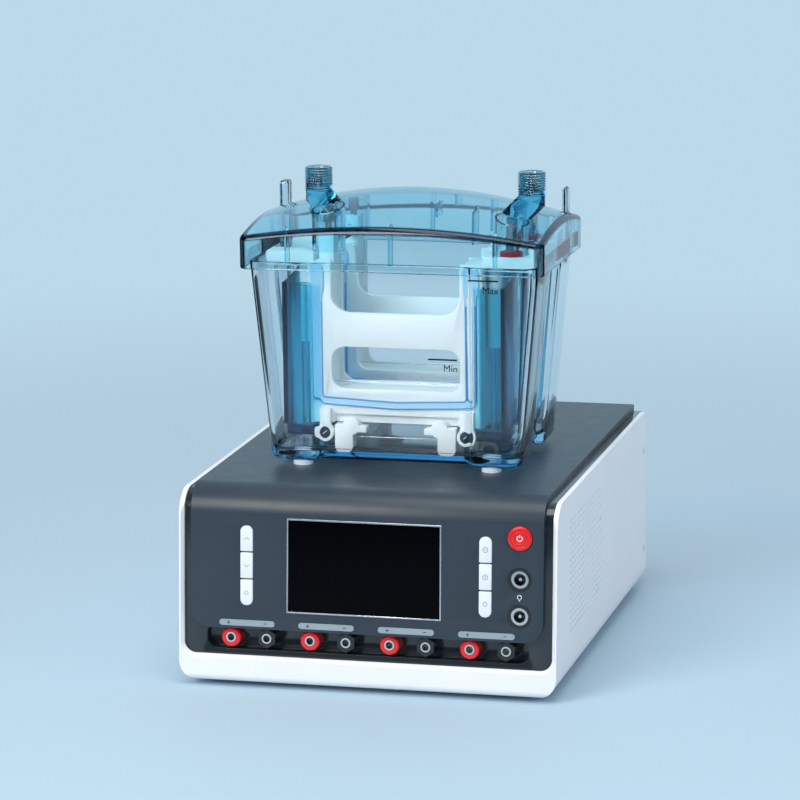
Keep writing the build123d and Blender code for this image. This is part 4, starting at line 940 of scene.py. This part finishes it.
level_lines = []
for start, stop, height in ((45.6, 63.0, 112.6), (21.0, 38.0, 65.7)):
    path = np.stack([np.linspace(start, stop, 12), np.full(12, height)], axis=1)
    level_lines.append(stroke(path, 0.9, on_wall, -0.05, 0.06))
printed("level_lines", level_lines, "print_black", "tank")
wall_words("max_word", "Max", 5.6, 63.2, 105.2)
wall_words("min_word", "Min", 5.6, 38.3, 58.8)


# Painted shade along the edges of both cores' gaskets: dark blue lines a hair proud, where the gaskets'
# sides fall into shade

FINISH["gasket_edge_shade_blue"] = solid("gasket_edge_shade_blue", (0.05, 0.27, 0.56), 0.3, coat=0.3)


def gasket_line(offset):
    """Middle line of the U-shaped gasket, moved out by offset: down, round, along the shallow V, up."""
    reach = 45.9 + offset
    low = 38.2 - offset
    radius = 4.5 + offset
    corner = arc_path(-reach + radius, low + radius, radius, 180, 268, 9)
    half = np.vstack([[(-reach, 96.0), (-reach, 70.0)], corner])
    middle = np.array([(0.0, low - 1.8)])
    return np.vstack([half, middle, half[::-1] * (-1.0, 1.0)])


def core_face(y, outward):
    """Surface function for strokes on an upright face of a core."""
    return lambda x, height, d: placed(np.stack(np.broadcast_arrays(x, y + outward * d, height), axis=-1))


for core, middle in CORE_Y.items():
    edge_shade_lines = []
    for outward in (-1, 1):
        face = core_face(middle + outward * 15.5, outward)
        # Two painted shade lines on this face, one each side of the gasket's middle line
        edge_shade_lines += [stroke(gasket_line(offset), 0.75, face, -0.1, 0.12) for offset in (-1.9, 1.9)]
    printed(f"{core}_gasket_edge_shade", edge_shade_lines, "gasket_edge_shade_blue", f"{core}_core")


# Painted highlights on the heads of the front core's pivot pins: a white stroke on each, where the slot
# catches the light

pin_low, pin_high = corners_of("front_core_pivot_pins")
pin_height = (pin_low[2] + pin_high[2]) / 2 - DECK_Z
pin_reach = (pin_high[2] - pin_low[2]) / 2
pin_face = core_face(pin_low[1] - TANK_Y, -1)
slot_highlights = []
for x in (pin_low[0] + pin_reach - TANK_X, pin_high[0] - pin_reach - TANK_X):
    # White zigzag stroke: painted highlight of the pin's slot
    path = np.array([(-1.3, -1.0), (-0.2, 0.2), (0.1, -0.1), (1.3, 1.1)]) + (x, pin_height)
    slot_highlights.append(stroke(path, 0.4, pin_face, -0.05, 0.08))
printed("pivot_slot_highlights", slot_highlights, "print_white", "front_core")


# Stage: pale floor, soft lamps and the camera at the photograph's angle

BACKDROP = (0.50, 0.69, 0.82)
FLOOR_REACH = 6.0


def rays_seen(n):
    """Two values: 1 for a camera ray, and 1 for a camera, mirrored or refracted ray."""
    paths = n.add("ShaderNodeLightPath")
    camera_ray = paths.outputs["Is Camera Ray"]
    mirrored = n.math("MAXIMUM", paths.outputs["Is Glossy Ray"], paths.outputs["Is Transmission Ray"])
    return camera_ray, n.math("MAXIMUM", mirrored, camera_ray)


def floor_paper():
    """Matt paper near the object, and the backdrop's glow far from it, darker in front in mirrored rays."""
    n = Nodes("floor_paper")
    p = n.principled(Roughness=0.6)
    p.inputs["Base Color"].default_value = (0.43, 0.58, 0.69, 1.0)
    camera_ray, seen = rays_seen(n)
    length = n.add("ShaderNodeVectorMath", operation="LENGTH")
    n.join(n.coords, length.inputs[0])
    away = n.ramp(length.outputs["Value"], 0.35, 1.3)
    glow = n.add("ShaderNodeEmission")
    glow.inputs["Color"].default_value = (*BACKDROP, 1.0)
    shaded = n.ramp(n.axes()["Y"], -1.4, -0.3, 0.15, 1.0)
    n.join(n.math("MAXIMUM", shaded, camera_ray), glow.inputs["Strength"])
    n.mixed(n.math("MULTIPLY", away, seen), p.outputs["BSDF"], glow.outputs["Emission"])
    return n.material


def studio_world():
    """Even pale light on the object; what is seen of it is the backdrop, dark in front in mirrored rays."""
    world = bpy.data.worlds.new("studio")
    n = Nodes("studio", world)
    ambient = n.add("ShaderNodeBackground")
    ambient.inputs["Color"].default_value = (0.88, 0.93, 1.0, 1.0)
    ambient.inputs["Strength"].default_value = 0.68
    camera_ray, seen = rays_seen(n)
    facing_back = n.ramp(n.axes()["Y"], -0.4, 0.75)
    backdrop = n.add("ShaderNodeBackground")
    pale = n.math("MAXIMUM", facing_back, camera_ray)
    n.join(n.blend(pale, (0.012, 0.035, 0.07), BACKDROP), backdrop.inputs["Color"])
    n.mixed(seen, ambient.outputs["Background"], backdrop.outputs["Background"])
    return world


corners = [(-FLOOR_REACH, -FLOOR_REACH, 0), (FLOOR_REACH, -FLOOR_REACH, 0)]
corners += [(FLOOR_REACH, FLOOR_REACH, 0), (-FLOOR_REACH, FLOOR_REACH, 0)]
floor_mesh = bpy.data.meshes.new("floor")
floor_mesh.from_pydata(corners, [], [(0, 1, 2, 3)])
floor_mesh.materials.append(floor_paper())
floor = bpy.data.objects.new("floor", floor_mesh)
bpy.context.scene.collection.objects.link(floor)
bpy.context.scene.world = studio_world()


def lamp(name, place, aim, size, watts, color):
    """Square soft lamp at place, in metres, facing aim."""
    data = bpy.data.lights.new(name, "AREA")
    data.shape = "SQUARE"
    data.size = size
    data.energy = watts
    data.color = color
    obj = bpy.data.objects.new(name, data)
    obj.location = place
    obj.rotation_euler = (Vector(aim) - Vector(place)).to_track_quat("-Z", "Y").to_euler()
    bpy.context.scene.collection.objects.link(obj)


lamp("key_lamp", (-0.8, -1.6, 1.2), (0, 0, 0.12), 0.9, 21.5, (1.0, 0.97, 0.93))
lamp("top_lamp", (0.1, -0.5, 1.7), (0, 0, 0.1), 1.0, 11.0, (1.0, 0.99, 0.96))
lamp("right_lamp", (1.5, -0.5, 0.9), (0, 0, 0.12), 0.8, 3.0, (0.97, 0.99, 1.0))


def flag(name, place, aim, wide, high):
    """Black card that only reflections and refractions see, to draw dark edges in the clear plastic."""
    mesh = bpy.data.meshes.new(name)
    corners = [(-wide, -high, 0), (wide, -high, 0), (wide, high, 0), (-wide, high, 0)]
    mesh.from_pydata(corners, [], [(0, 1, 2, 3)])
    mesh.materials.append(FINISH["inner_black"])
    card = bpy.data.objects.new(name, mesh)
    bpy.context.scene.collection.objects.link(card)
    turn = (Vector(aim) - Vector(place)).to_track_quat("Z", "Y").to_matrix().to_4x4()
    card.matrix_world = Matrix.Translation(place) @ turn
    card.visible_camera = False
    card.visible_diffuse = False
    card.visible_shadow = False
    card.visible_volume_scatter = False


flag("left_flag", (-0.56, 0.1, 0.32), (0, 0.1, 0.25), 0.62, 0.33)
flag("right_flag", (0.6, 0.1, 0.34), (0, 0.1, 0.25), 0.62, 0.36)

# Camera

yaw = math.radians(14.022)
pitch = math.radians(11.574)
roll = math.radians(-0.641)
forward = Vector((-math.sin(yaw) * math.cos(pitch), math.cos(yaw) * math.cos(pitch), -math.sin(pitch)))
right = Vector((math.cos(yaw), math.sin(yaw), 0.0))
up = right.cross(forward)
right_rolled = right * math.cos(roll) + up * math.sin(roll)
up_rolled = -right * math.sin(roll) + up * math.cos(roll)
camera_data = bpy.data.cameras.new("camera")
camera_data.lens = 180.13
camera_data.sensor_width = 36.0
camera = bpy.data.objects.new("camera", camera_data)
bpy.context.scene.collection.objects.link(camera)
basis = Matrix((right_rolled, up_rolled, -forward)).transposed().to_4x4()
camera.matrix_world = Matrix.Translation((0.5507, -2.2555, 0.618)) @ basis
bpy.context.scene.camera = camera
bpy.context.scene.view_settings.view_transform = "Standard"
bpy.context.scene.cycles.transmission_bounces = 24
bpy.context.scene.cycles.transparent_max_bounces = 24
bpy.context.scene.cycles.max_bounces = 28
